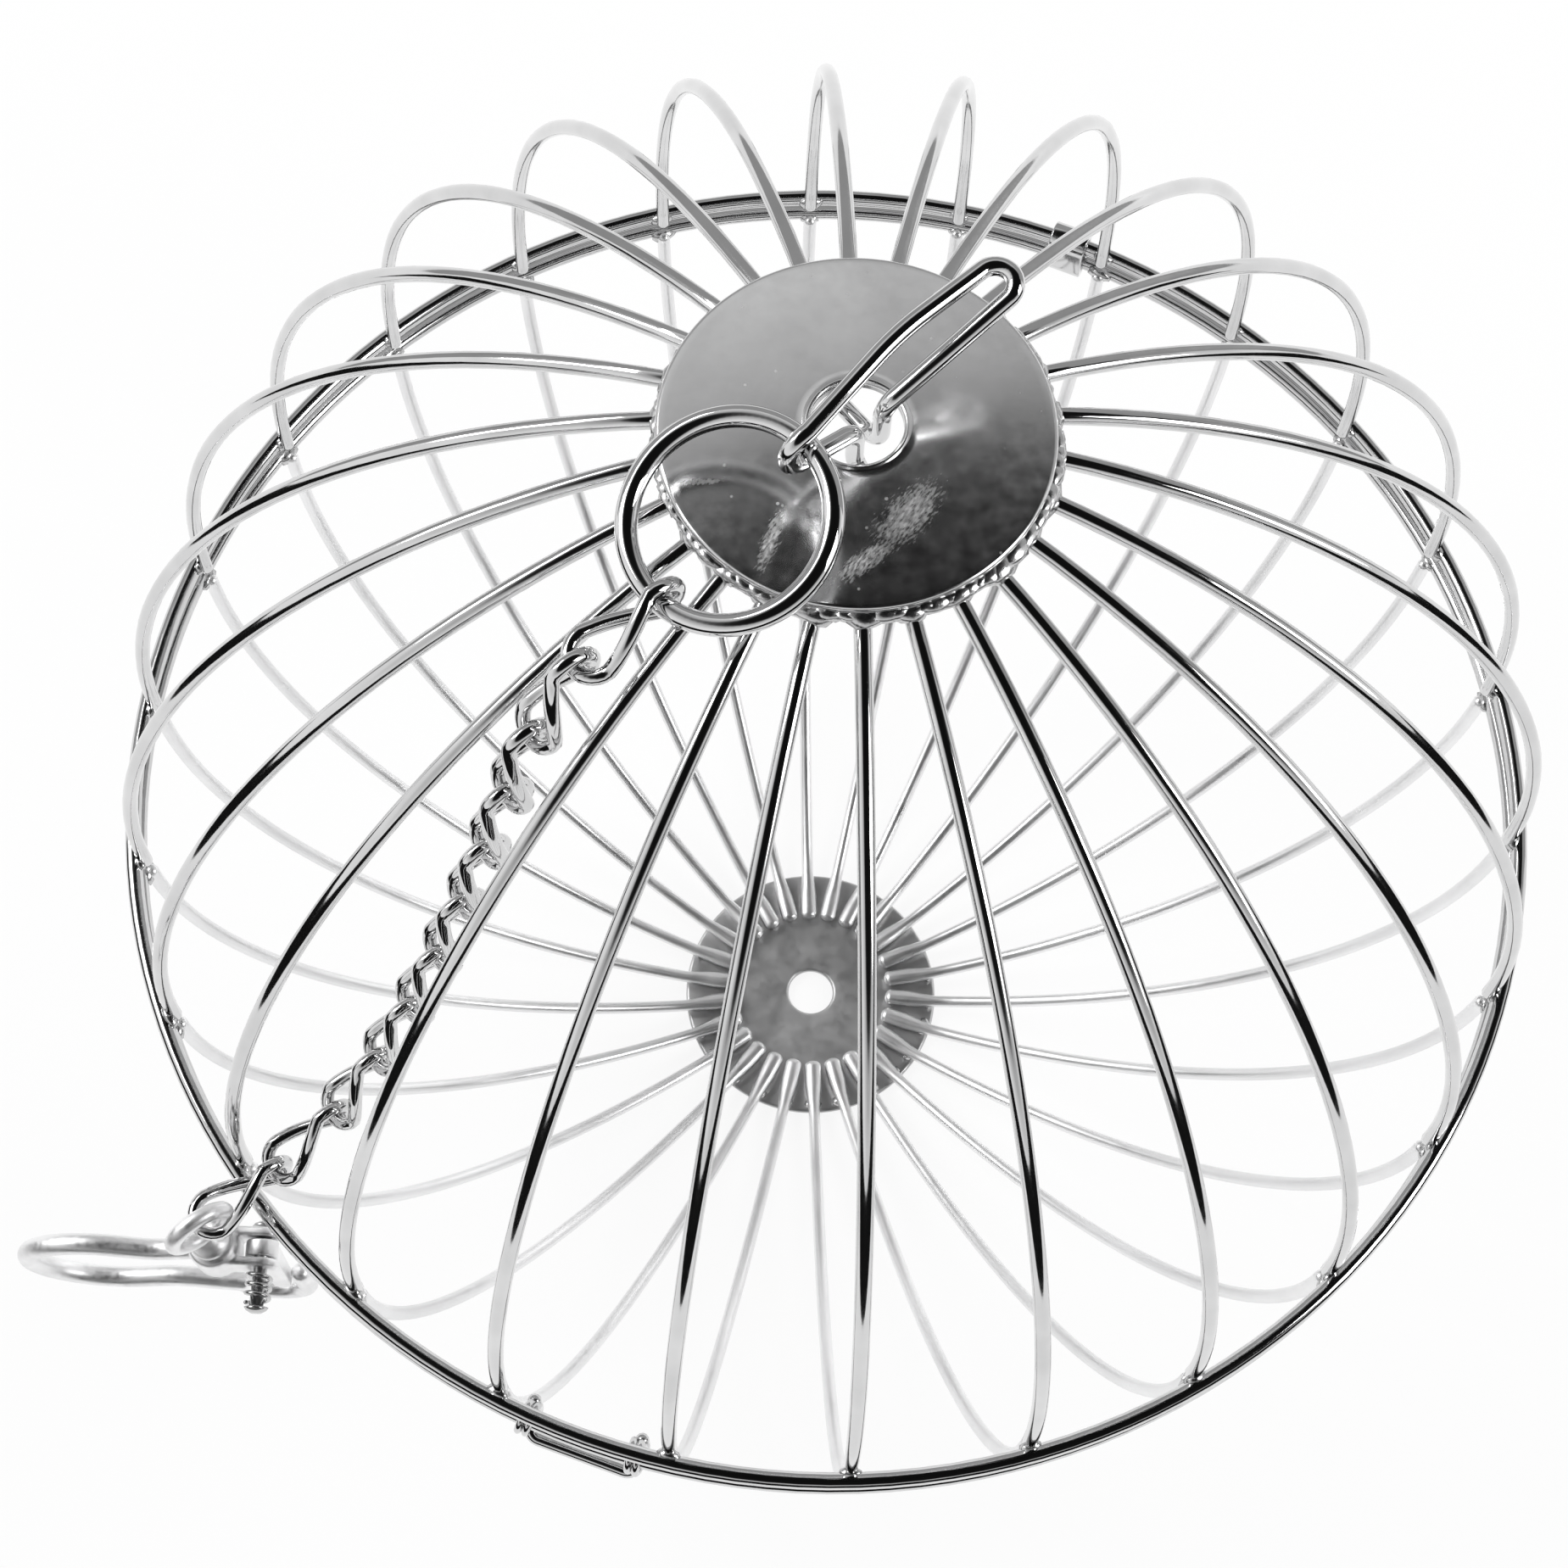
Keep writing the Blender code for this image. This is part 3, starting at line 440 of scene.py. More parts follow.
def brushed_noise(tree, place):
    """Fine noise about zero, drawn out in the direction of the wear."""
    brushed = add_node(tree, "Mapping", {
        "Vector": place, "Rotation": (0, 0, BRUSH_ANGLE), "Scale": (BRUSH_STRETCH, 1, 1)},
        vector_type="TEXTURE")
    speckle = add_node(tree, "TexNoise", {
        "Vector": brushed.outputs["Vector"], "Scale": BRUSH_GRAIN, "Detail": 6.0})
    patches = add_node(tree, "MapRange", {
        "Value": speckle.outputs["Fac"], "From Min": 0.3, "From Max": 0.7,
        "To Min": -BRUSH_DEPTH, "To Max": BRUSH_DEPTH})
    return patches.outputs["Result"]


def dust_specks(tree, place):
    """Small round specks, one in each cell of a Voronoi pattern."""
    dust = add_node(tree, "TexVoronoi", {"Vector": place, "Scale": DUST_GRAIN})
    specks = add_node(tree, "MapRange", {
        "Value": dust.outputs["Distance"], "From Min": DUST_EDGE, "From Max": DUST_CORE,
        "To Max": DUST_STRENGTH})
    return specks.outputs["Result"]


print("ready to scuff a plate")

# %% Scuffed and plain plate finishes
WORN_TONE = (0.95, 0.95, 0.95, 1)
WORN_ROUGHNESS = 0.55
WORN_FROM, WORN_FULL = 0.45, 1.4
PLATE_FACE = BALL + Vector((0, 0, 79 * MM))
SCUFFS = [
    # right and back from the plate's middle in mm, angle in degrees, length and width in mm
    (4.6, -8.6, 52, 13.0, 6.4),
    (1.2, -13.0, 40, 11.0, 3.4),
    (-6.9, -11.6, 74, 10.0, 2.6),
    (-13.0, -6.2, 4, 6.0, 1.0),
]


def scuffed_plate(name, tone, roughness):
    """A plated finish with scuffs and specks, paler and rougher than the metal round them."""
    finish = plating(name, tone, roughness, grain=700.0, ripple=0.06)
    tree = finish.node_tree
    shader = tree.nodes["Principled BSDF"]
    bright_tone = shader.inputs["Base Color"].links[0].from_socket
    bright_gloss = shader.inputs["Roughness"].links[0].from_socket
    place = add_node(tree, "TexCoord", {}).outputs["Object"]
    bands = []
    for right, back, angle, length, width in SCUFFS:
        middle = PLATE_FACE + Vector((right, back, 0)) * MM
        bands.append(scuff_band(tree, place, middle, math.radians(angle), length * MM, width * MM))
    strength = bands[0]
    for band in bands[1:]:
        strength = larger(tree, strength, band)
    ragged = add_node(tree, "Math", {0: strength, 1: brushed_noise(tree, place)}, operation="ADD")
    scuffed = add_node(tree, "MapRange", {
        "Value": ragged.outputs["Value"], "From Min": WORN_FROM, "From Max": WORN_FULL})
    worn = larger(tree, scuffed.outputs["Result"], dust_specks(tree, place))
    paler = add_node(tree, "Mix", {"Factor": worn, "A": bright_tone, "B": WORN_TONE}, data_type="RGBA")
    rougher = add_node(tree, "Mix", {"Factor": worn, "A": bright_gloss, "B": WORN_ROUGHNESS})
    fill(tree, shader, {
        "Base Color": paler.outputs["Result"], "Roughness": rougher.outputs["Result"]})
    return finish


top_plate_nickel = scuffed_plate("top_plate_nickel", 0.76, 0.19)
bottom_plate_nickel = plating("bottom_plate_nickel", 0.56, 0.4, grain=500.0, ripple=0.03)
print("made the plates' finishes")

# %% [markdown]
# ## The plates
# The top plate is a shallow crown with a rolled edge and a lip round its hole, and the bottom plate is flat.
# Both are round, so a half profile swept round the axis gives them exactly. A screw modifier does that too,
# but a few lines of mesh code also serve the snap's rivets, wherever they point.

# %% A helper for turned pieces
AXIS_RADIUS = 0.0002 * MM
MERGE_REACH = 0.0005 * MM


def turned(name, profile, steps, matrix):
    """A solid of revolution about Z from a closed profile of radius and height."""
    body = bmesh.new()
    rings = []
    for step in range(steps):
        turn = 2 * math.pi * step / steps
        rings.append([body.verts.new((r * math.cos(turn), r * math.sin(turn), z)) for r, z in profile])
    count = len(profile)
    for first, second in zip(rings, rings[1:] + rings[:1]):
        for k in range(count):
            after = (k + 1) % count
            body.faces.new((first[k], second[k], second[after], first[after]))
    bmesh.ops.remove_doubles(body, verts=body.verts, dist=MERGE_REACH)
    bmesh.ops.recalc_face_normals(body, faces=body.faces)
    bmesh.ops.transform(body, matrix=matrix, verts=body.verts)
    return mesh_of(name, body)


def arc(centre, radius, start, end, steps):
    """Points of a circle's arc in a plane, both ends among them."""
    turns = [start + (end - start) * step / steps for step in range(steps + 1)]
    return [(centre[0] + radius * math.cos(a), centre[1] + radius * math.sin(a)) for a in turns]


print("ready to turn pieces")

# %% Profiles of the two plates
PLATE_SHEET = 0.9 * MM
PLATE_CROWN = 0.8 * MM
PLATE_HOLE = 4.1 * MM
BOTTOM_HOLE = 3.2 * MM
PLATE_GAP = 0.3 * MM
PLATE_SEAT = RIB_SHELF + RIM_SPLIT + RIB_WIRE / 2 + PLATE_GAP
LIP_RADIUS = 0.28 * MM
LIP_SINK = 0.08 * MM
LIP_WIDTH = 0.75 * MM
LIP_END = 0.5
EDGE_ROLL = 0.42 * MM
BOTTOM_ROLL = PLATE_SHEET * 0.4
QUARTER = math.pi / 2


def crown(radius):
    """How far the top plate bulges at a radius."""
    return PLATE_CROWN * math.cos(QUARTER * radius / PLATE_RADIUS)


def evenly(start, end, steps):
    """Numbers from start to end in equal steps."""
    return [start + (end - start) * k / steps for k in range(steps + 1)]


def top_plate_profile():
    """Up through the lip, out over the crown, round the rolled edge and back underneath."""
    face = PLATE_SEAT + PLATE_SHEET
    lip_rise = face + crown(PLATE_HOLE) - LIP_SINK
    lip = arc((PLATE_HOLE + LIP_RADIUS, lip_rise), LIP_RADIUS, math.pi, LIP_END, 8)
    end = PLATE_RADIUS - EDGE_ROLL
    over = [(r, face + crown(r)) for r in evenly(PLATE_HOLE + LIP_WIDTH, end, 22)]
    edge = arc((end, face - EDGE_ROLL + crown(end)), EDGE_ROLL, QUARTER, -QUARTER, 10)[1:]
    under = [(r, z - PLATE_SHEET) for r, z in reversed(over[:-1])]
    return lip + over + edge + under + [(PLATE_HOLE, PLATE_SEAT + crown(PLATE_HOLE))]


def bottom_plate_profile():
    """A flat washer with rounded edges."""
    top = -PLATE_SEAT
    base = top - PLATE_SHEET
    end = PLATE_RADIUS - BOTTOM_ROLL
    start = BOTTOM_HOLE + BOTTOM_ROLL
    upper = [(r, top) for r in evenly(start, end, 8)]
    lower = [(r, base) for r, _ in reversed(upper)]
    edge = arc((end, (top + base) / 2), PLATE_SHEET / 2, QUARTER, -QUARTER, 8)[1:-1]
    bore = arc((start, (top + base) / 2), PLATE_SHEET / 2, -QUARTER, -3 * QUARTER, 8)[1:-1]
    return upper + edge + lower + bore


at_ball = Matrix.Translation(BALL)
seat("top_plate_disc", turned("top_plate_disc", top_plate_profile(), 120, at_ball),
     top_plate_nickel, "upper_half", "top_plate")
seat("bottom_plate_disc", turned("bottom_plate_disc", bottom_plate_profile(), 96, at_ball),
     bottom_plate_nickel, "lower_half", "bottom_plate")
print(f"turned both plates, {2 * PLATE_RADIUS / MM:.0f} mm across")

# %% [markdown]
# ## Solder at the plates
# The ribs are held to the plates by solder. It shows below the top plate's edge as a lumpy band that is
# thickest at the front right, and at the bottom plate as a small drop at each rib. A swept tube would look
# too even, so the band is a row of the same lumpy beads: four to a rib, with the largest at the rib.

# %% Solder beads
SOLDER_BEAD = (1.05 * MM, 1.7 * MM, 0.8 * MM)
SOLDER_THICKEST = math.radians(-55)
SOLDER_RUNS = {
    # beads to a rib, inset from the plate's edge, share of the full size
    "upper": (4, 0.2 * MM, 1.0),
    "lower": (1, 0.9 * MM, 0.6),
}
DROP_AT_RIB, GROWTH_AT_RIB = 0.7 * MM, (0.95, 1.25)
DROP_BETWEEN, GROWTH_BETWEEN = 0.45 * MM, (0.6, 1.0)
WANDER = 0.015
for half, side in HALVES:
    per_rib, inset, share = SOLDER_RUNS[half]
    beads = []
    for k in range(RIB_COUNT * per_rib):
        at_rib = k % per_rib == 0
        bearing = rib_bearing(k / per_rib) + chance.uniform(-WANDER, WANDER)
        grow = chance.uniform(*(GROWTH_AT_RIB if at_rib else GROWTH_BETWEEN))
        grow *= share * (0.85 + 0.25 * math.cos(bearing - SOLDER_THICKEST))
        height = PLATE_SEAT - (DROP_AT_RIB if at_rib else DROP_BETWEEN)
        centre = around(bearing, PLATE_RADIUS - inset, side * height)
        beads.append((centre, bearing, [size * grow for size in SOLDER_BEAD]))
    mesh = bead_mesh(f"{half}_solder", beads)
    seat(f"{half}_solder", mesh, weld_nickel, f"{half}_half", None)
print("soldered the ribs to the plates")

# %% [markdown]
# ## The hinge clip
# A strap closed round both rims is the hinge. A box with a bevel modifier would do for a plain strap, but
# this one has round ends and a long hole. So it is a flat curve with the hole as its second outline,
# extruded and beveled, because pressed sheet has soft edges that catch the light.

# %% A helper for flat pieces


def flat_piece(name, outlines, thickness, matrix, soften=0.2 * MM):
    """A sheet cut to outlines in XZ, the later ones being holes, with softened edges."""
    data = bpy.data.curves.new(name, "CURVE")
    data.dimensions = "2D"
    data.fill_mode = "BOTH"
    data.extrude = thickness / 2 - soften
    data.bevel_depth = soften
    data.bevel_resolution = 2
    data.offset = -soften
    for outline in outlines:
        spline = data.splines.new("POLY")
        spline.points.add(len(outline) - 1)
        for point, (x, z) in zip(spline.points, outline):
            point.co = (x, z, 0, 1)
        spline.use_cyclic_u = True
    mesh = finished_mesh(bpy.data.objects.new(name + "_outline", data))
    bpy.data.curves.remove(data)
    mesh.transform(matrix @ Matrix.Rotation(QUARTER, 4, "X"))
    mesh.shade_smooth()
    mesh.set_sharp_from_angle(angle=math.radians(50))
    return mesh


def axes_at(place, outward, slope=0.0):
    """Axes at a point: X along a bearing and up by a slope, Z up, Y across."""
    turn = Matrix.Rotation(outward, 4, "Z") @ Matrix.Rotation(-slope, 4, "Y")
    return Matrix.Translation(place) @ turn


print("ready to cut flat pieces")

# %% Hinge strap
STRAP = 0.8 * MM
STRAP_WIDTH = 4.6 * MM
RIM_PLAY = 0.25 * MM
BORE = RIM_WIRE / 2 + RIM_PLAY
HINGE_RIB = 11.25
hinge_bearing = rib_bearing(HINGE_RIB)
rim_flat = RIM_RADIUS * math.cos(RIB_PITCH / 4)


def stadium(half_width, half_length):
    """An upright outline with two half-round ends."""
    top = arc((0, half_length), half_width, 0, math.pi, 14)
    return top + arc((0, -half_length), half_width, math.pi, 2 * math.pi, 14)


clip_axes = axes_at(around(hinge_bearing, rim_flat, 0), hinge_bearing)
strap_outlines = [stadium(BORE + STRAP, RIM_SPLIT), stadium(BORE, RIM_SPLIT)]
clip = flat_piece("hinge_strap", strap_outlines, STRAP_WIDTH, clip_axes)
seat("hinge_strap", clip, fitting_nickel, "upper_half", "hinge_clip")
print(f"cut the hinge strap, {STRAP_WIDTH / MM:.1f} mm wide")

# %% [markdown]
# ## The latch
# The latch is a clasp of bent wire that hangs from the lower rim by two coiled eyes. Its path is a list of
# corners, each rounded to the bend of the tool. That is nearer to how the wire is really bent than a smooth
# spline, which would sag between its points.

# %% A helper for bends


def filleted(corners, radius, steps=8):
    """The path through these corners, with each inner corner rounded to the radius."""
    corners = [Vector(corner) for corner in corners]
    path = [corners[0]]
    for before, corner, after in zip(corners, corners[1:], corners[2:]):
        back = (before - corner).normalized()
        ahead = (after - corner).normalized()
        half = back.angle(ahead) / 2
        setback = min(radius / math.tan(half), (before - corner).length / 2, (after - corner).length / 2)
        bend = setback * math.tan(half)
        centre = corner + (back + ahead).normalized() * bend / math.sin(half)
        start = corner + back * setback - centre
        end = corner + ahead * setback - centre
        path += [centre + start.slerp(end, step / steps).normalized() * bend for step in range(steps + 1)]
    return path + [corners[-1]]


def joint_at(name):
    """Where a joint of the model sits."""
    return Vector(joints[name]["pos_m"])


print("ready to round bends")

# %% Clasp and its eyes
CLASP_WIRE = 1.5 * MM
CLASP_WIDTH = 13.5 * MM
CLASP_BEND = 1.2 * MM
CLASP_TOP = 0.3 * MM
CLASP_DROP = 4.4 * MM
CLASP_TOE = (1.0 * MM, -5.8 * MM)
COIL_STEPS = 24
EYE_STEPS = 42
EYE_START = 0.75 * MM
EYE_ADVANCE = 0.035 * MM
CLASP_RIB = 24.5
clasp_axes = axes_at(joint_at("latch_swing"), rib_bearing(CLASP_RIB))
across = (CLASP_WIDTH - CLASP_WIRE) / 2
leg = -(BORE + CLASP_WIRE / 2)
eye_curl = BORE + STRAP / 2


def clasp_eye(side):
    """A tight coil round the rim at one end of the clasp."""
    path = []
    for k in range(EYE_STEPS + 1):
        turn = 2 * math.pi * k / COIL_STEPS
        aside = side * (across - EYE_START + EYE_ADVANCE * k)
        path.append(clasp_axes @ Vector((-eye_curl * math.cos(turn), aside, eye_curl * math.sin(turn))))
    return path


half_clasp = [(leg, CLASP_TOP), (leg, -CLASP_DROP), CLASP_TOE]
corners = [(x, -across, z) for x, z in half_clasp] + [(x, across, z) for x, z in reversed(half_clasp)]
clasp_path = [clasp_axes @ point for point in filleted(corners, CLASP_BEND)]
seat("clasp_wire", bent_wire("clasp_wire", [clasp_path], CLASP_WIRE),
     fitting_nickel, "latch", "latch_clasp")
seat("clasp_eyes", bent_wire("clasp_eyes", [clasp_eye(-1), clasp_eye(1)], STRAP),
     fitting_nickel, "latch", None)
print(f"bent the clasp, {CLASP_WIDTH / MM:.1f} mm wide")

# %% [markdown]
# ## The bail and the ring
# The bail is one wire: both ends go down through the plate's hole, where they are bent out so that they
# can't pull back. Above the plate it is a hairpin that leans back, and a curl at its front holds the ring.
# Corners with bends make the hairpin, and an arc makes the curl, because the ring has to turn in it freely.
# The bends are set out for the model's wire. The wire that shows is drawn a little thinner.

# %% Where the bail's corners are
BAIL_BEARING = math.radians(222.3)
BAIL_WIRE = 1.8 * MM
BAIL_DRAWN_WIRE = 1.65 * MM
BAIL_CLEARANCE = 0.5 * MM
LEG_ASIDE = 1.5 * MM
LEG_RISE = 2.4 * MM
FOOT_REACH = 5.5 * MM
HAIRPIN_BACK = 15 * MM
HAIRPIN_RISE = 10 * MM
HAIRPIN_WIDTH = 3.4 * MM
HAIRPIN_BEND = 2.4 * MM
ARM_BOW = 0.8 * MM
ARM_BEND = 40 * MM
RING_WIRE = 2.0 * MM
RING_RADIUS = 9.0 * MM
RING_PLAY = 0.3 * MM
bail_pivot = joint_at("bail_rock")
ring_place = joint_at("ring_lift")
bail_axes = axes_at(bail_pivot, BAIL_BEARING)
ring_local = bail_axes.inverted() @ ring_place
bail_rise = BALL.z + PLATE_SEAT + PLATE_SHEET + PLATE_CROWN + BAIL_CLEARANCE - bail_pivot.z
curl = RING_WIRE / 2 + RING_PLAY + BAIL_WIRE / 2
foot = -PLATE_CROWN
apex = Vector((-HAIRPIN_BACK, -HAIRPIN_WIDTH / 2, bail_rise + HAIRPIN_RISE))
curl_top = Vector((ring_local.x, 0, ring_local.z + curl))
shoulder = (apex + curl_top) / 2 + Vector((0, -ARM_BOW, ARM_BOW))
half_arm = (apex + shoulder) / 2
print(f"the bail rises {apex.z / MM:.1f} mm over its pivot")

# %% Bail and ring
RING_STEPS = 96
RING_SLOPE = math.radians(-20)
back_corners = [
    (-LEG_ASIDE, -FOOT_REACH, foot),
    (-LEG_ASIDE, 0, foot),
    (-LEG_ASIDE, 0, bail_rise + LEG_RISE),
    apex + Vector((0, HAIRPIN_WIDTH, 0)),
    apex,
    half_arm,
]
front_corners = [
    (ring_local.x, 0, ring_local.z - curl),
    (LEG_ASIDE, 0, bail_rise + BAIL_WIRE),
    (LEG_ASIDE, 0, foot),
    (LEG_ASIDE, FOOT_REACH, foot),
]
curl_line = arc((ring_local.x, ring_local.z), curl, QUARTER, -QUARTER, 16)[1:-1]
bail_path = filleted(back_corners, HAIRPIN_BEND)
bail_path += filleted([half_arm, shoulder, curl_top], ARM_BEND)[1:]
bail_path += [Vector((x, 0, z)) for x, z in curl_line]
bail_path += filleted(front_corners, BAIL_WIRE)
bail = bent_wire("bail_wire", [[bail_axes @ point for point in bail_path]], BAIL_DRAWN_WIRE, sides=16)
seat("bail_wire", bail, bail_nickel, "bail", "bail")
ring_axes = axes_at(ring_place, BAIL_BEARING, RING_SLOPE) @ Matrix.Translation((RING_RADIUS, 0, 0))
ring_line = arc((0, 0), RING_RADIUS, 0, 2 * math.pi, RING_STEPS)[:-1]
ring_path = [ring_axes @ Vector((x, y, 0)) for x, y in ring_line]
ring = bent_wire("ring_wire", [ring_path], RING_WIRE, closed=True, sides=20)
seat("ring_wire", ring, bail_nickel, "ring", "ring")
print(f"bent the bail and a ring {2 * RING_RADIUS / MM:.0f} mm across")

# %% [markdown]
# ## The chain
# Each link is a closed oval of wire, twisted a quarter turn along its length, so that its near end stands
# upright where its far end lies flat. An array along a curve would make links of one kind that don't move.
# Here the joints of the model give every link its place: a link starts at its own joint and points at the
# next, and it is a piece of its own.

# %% Twisted links
CHAIN_BEARING = math.radians(218.8)
LINK_WIRE = 1.4 * MM
LINK_WIDTH = 5.8 * MM
LINK_PLAY = 0.35 * MM
LINK_BEND = (LINK_WIDTH - LINK_WIRE) / 2
LINK_SEAT = LINK_WIRE + LINK_PLAY
SIDE_STEPS = 10
link_names = sorted(name for name in joints if name.startswith("link_"))
places = [joint_at(name) for name in link_names + ["eye_swing"]]


def twisted_link(pitch):
    """Centre line of a link along X, from its joint at the origin to the next joint a pitch away."""
    half = (pitch + LINK_SEAT) / 2 - LINK_BEND
    middle = pitch - (pitch + LINK_SEAT) / 2
    end = arc((half, 0), LINK_BEND, -QUARTER, QUARTER, 14)
    run = [half - 2 * half * step / SIDE_STEPS for step in range(1, SIDE_STEPS)]
    outline = end + [(x, LINK_BEND) for x in run]
    outline += [(-x, -y) for x, y in end] + [(-x, -LINK_BEND) for x in run]
    path = []
    for x, y in outline:
        twist = QUARTER * min(max((half - x) / (2 * half), 0), 1)
        path.append(Vector((middle + x, y * math.cos(twist), y * math.sin(twist))))
    return path


for number, (name, place, following) in enumerate(zip(link_names, places, places[1:]), start=1):
    piece = f"link_wire_{number:02d}"
    run = following - place
    link_axes = axes_at(place, CHAIN_BEARING, math.atan2(run.z, math.hypot(run.x, run.y)))
    path = [link_axes @ point for point in twisted_link(run.length)]
    mesh = bent_wire(piece, [path], LINK_WIRE, closed=True, sides=14)
    seat(piece, mesh, chain_nickel, joints[name]["child"], f"chain_link_{number:02d}")
print(f"linked {len(link_names)} links, pitch {(places[1] - places[0]).length / MM:.2f} mm")

# %% [markdown]
# ## The snap's swivel
# The snap hangs from the last link by an eye. The eye's shank goes through the snap's boss and is peened
# over below it, so that the snap can turn. The eye is wire again, and the shank with its collar and its head
# is turned, as it would be on a lathe.

# %% Snap sizes
EYE_WIRE = 1.8 * MM
EYE_RADIUS = 3.1 * MM
EYE_PLAY = 0.3 * MM
SHANK_RADIUS = 1.0 * MM
SHANK_SHOWS = 2.6 * MM
SHANK_PLAY = 0.3 * MM
BOSS_RADIUS = 2.7 * MM
BOSS_HEIGHT = 5.4 * MM
BOSS_BORE = SHANK_RADIUS + SHANK_PLAY
hang = joint_at("eye_swing")
eye_middle = EYE_WIRE / 2 + LINK_WIRE / 2 + EYE_PLAY - EYE_RADIUS
boss_top = eye_middle - EYE_RADIUS - EYE_WIRE / 2 - SHANK_SHOWS
boss_bottom = boss_top - BOSS_HEIGHT
head_top = boss_bottom - SHANK_PLAY
print(f"snap hangs at {[round(value / MM, 1) for value in hang]} mm")

# %% Swivel eye
COLLAR = [
    (SHANK_RADIUS, 1.5 * MM), (1.9 * MM, 1.35 * MM), (2.15 * MM, 1.0 * MM),
    (1.9 * MM, 0.6 * MM), (SHANK_RADIUS, 0.45 * MM),
]
PEENED_HEAD = [
    (SHANK_RADIUS, 0), (2.0 * MM, 0), (2.1 * MM, -0.25 * MM), (1.9 * MM, -0.6 * MM),
    (1.0 * MM, -1.0 * MM), (AXIS_RADIUS, -1.0 * MM),
]
eye_axes = axes_at(hang, CHAIN_BEARING)
eye_line = arc((0, 0), EYE_RADIUS, 0, 2 * math.pi, 64)[:-1]
eye_path = [eye_axes @ Vector((x, 0, eye_middle + z)) for x, z in eye_line]
eye = bent_wire("swivel_eye", [eye_path], EYE_WIRE, closed=True, sides=16)
seat("swivel_eye", eye, snap_nickel, "snap_eye", "snap_eye")
shank_top = eye_middle - EYE_RADIUS
shank_profile = [(AXIS_RADIUS, shank_top), (SHANK_RADIUS, shank_top)]
shank_profile += [(radius, boss_top + height) for radius, height in COLLAR]
shank_profile += [(radius, head_top + height) for radius, height in PEENED_HEAD]
shank = turned("swivel_shank", shank_profile, 32, eye_axes)
seat("swivel_shank", shank, snap_nickel, "snap_eye", None)
print("made the swivel eye")

# %% [markdown]
# ## The snap's casting
# The snap is a casting, so its boss, bow, claw and ears run into each other with soft inner corners.
# Booleans would join them with sharp ones. Plain solids that overlap are joined into one skin by a voxel
# remesh instead, and a little smoothing melts the corners.

# %% Bow, boss and ears
SNAP_BEARING = math.radians(181)
SNAP_WIRE = 2.4 * MM
BOW_LENGTH = 22 * MM
BOW_HEIGHT = 16.5 * MM
BOW_WAIST = 13.5 * MM
BOW_STEPS = 24
CLAW_REACH = 7.4 * MM
CLAW_TIP_RISE = 6.2 * MM
CLAW_TIP_STEPS = 4
bow_top = (boss_top + boss_bottom) / 2
bow_bottom = bow_top - BOW_HEIGHT
snap_axes = axes_at(hang, SNAP_BEARING)
pivot_local = snap_axes.inverted() @ joint_at("gate_open")


def bow_line():
    """The snap's bent wire: out along a waisted loop, back under the boss and up to the claw's tip."""
    middle = bow_top - BOW_HEIGHT / 2
    end_radius = BOW_HEIGHT / 2
    far = BOW_LENGTH - end_radius
    squeeze = (BOW_HEIGHT - BOW_WAIST) / 2
    out = []
    for k in range(BOW_STEPS):
        x = far * k / BOW_STEPS
        out.append((x, bow_top - squeeze * (1 - math.cos(2 * math.pi * x / far)) / 2))
    end = arc((far, middle), end_radius, QUARTER, -QUARTER, 28)
    return_run = [(x, 2 * middle - z) for x, z in reversed(out)]
    claw = arc((-CLAW_REACH / 2, bow_bottom), CLAW_REACH / 2, 0, -math.pi, 24)[1:]
    rises = [CLAW_TIP_RISE * k / CLAW_TIP_STEPS for k in range(1, CLAW_TIP_STEPS + 1)]
    tip = [(-CLAW_REACH, bow_bottom + rise) for rise in rises]
    return [Vector((x, 0, z)) for x, z in out + end + return_run + claw + tip]


def boss_profile():
    """A short tube with a domed shoulder."""
    soft = min(BOSS_HEIGHT / 6, (BOSS_RADIUS - BOSS_BORE) / 3)
    shoulder = arc((BOSS_RADIUS - 2 * soft, boss_top - 2 * soft), 2 * soft, QUARTER, 0, 6)
    base = arc((BOSS_RADIUS - soft, boss_bottom + soft), soft, 0, -QUARTER, 5)
    return [(BOSS_BORE, boss_top)] + shoulder + base + [(BOSS_BORE, boss_bottom)]


print(f"the bow is {BOW_LENGTH / MM:.0f} mm long and {BOW_WAIST / MM:.1f} mm high at its waist")

# %% Join the casting
EAR_RADIUS = 2.0 * MM
EAR_THICKNESS = 1.0 * MM
EAR_SOFTEN = 0.1 * MM
GATE_THICKNESS = 1.8 * MM
GATE_SIDE_PLAY = 0.25 * MM
SKIN_VOXEL = 0.2 * MM
MELT_ROUNDS = 8
wall_middle = (BOSS_BORE + BOSS_RADIUS) / 2
ear_middle = (GATE_THICKNESS + EAR_THICKNESS + 2 * GATE_SIDE_PLAY) / 2


def ear(side):
    """A cheek that holds one end of the gate's pin. It starts inside the boss's wall."""
    inner = -math.sqrt(max(wall_middle ** 2 - ear_middle ** 2, 0))
    outline = arc((pivot_local.x, pivot_local.z), EAR_RADIUS, QUARTER, 3 * QUARTER, 18)
    outline += [(inner, pivot_local.z - EAR_RADIUS), (inner, pivot_local.z + EAR_RADIUS)]
    shift = Matrix.Translation((0, side * ear_middle, 0))
    return flat_piece(f"ear_{side}", [outline], EAR_THICKNESS, shift, EAR_SOFTEN)


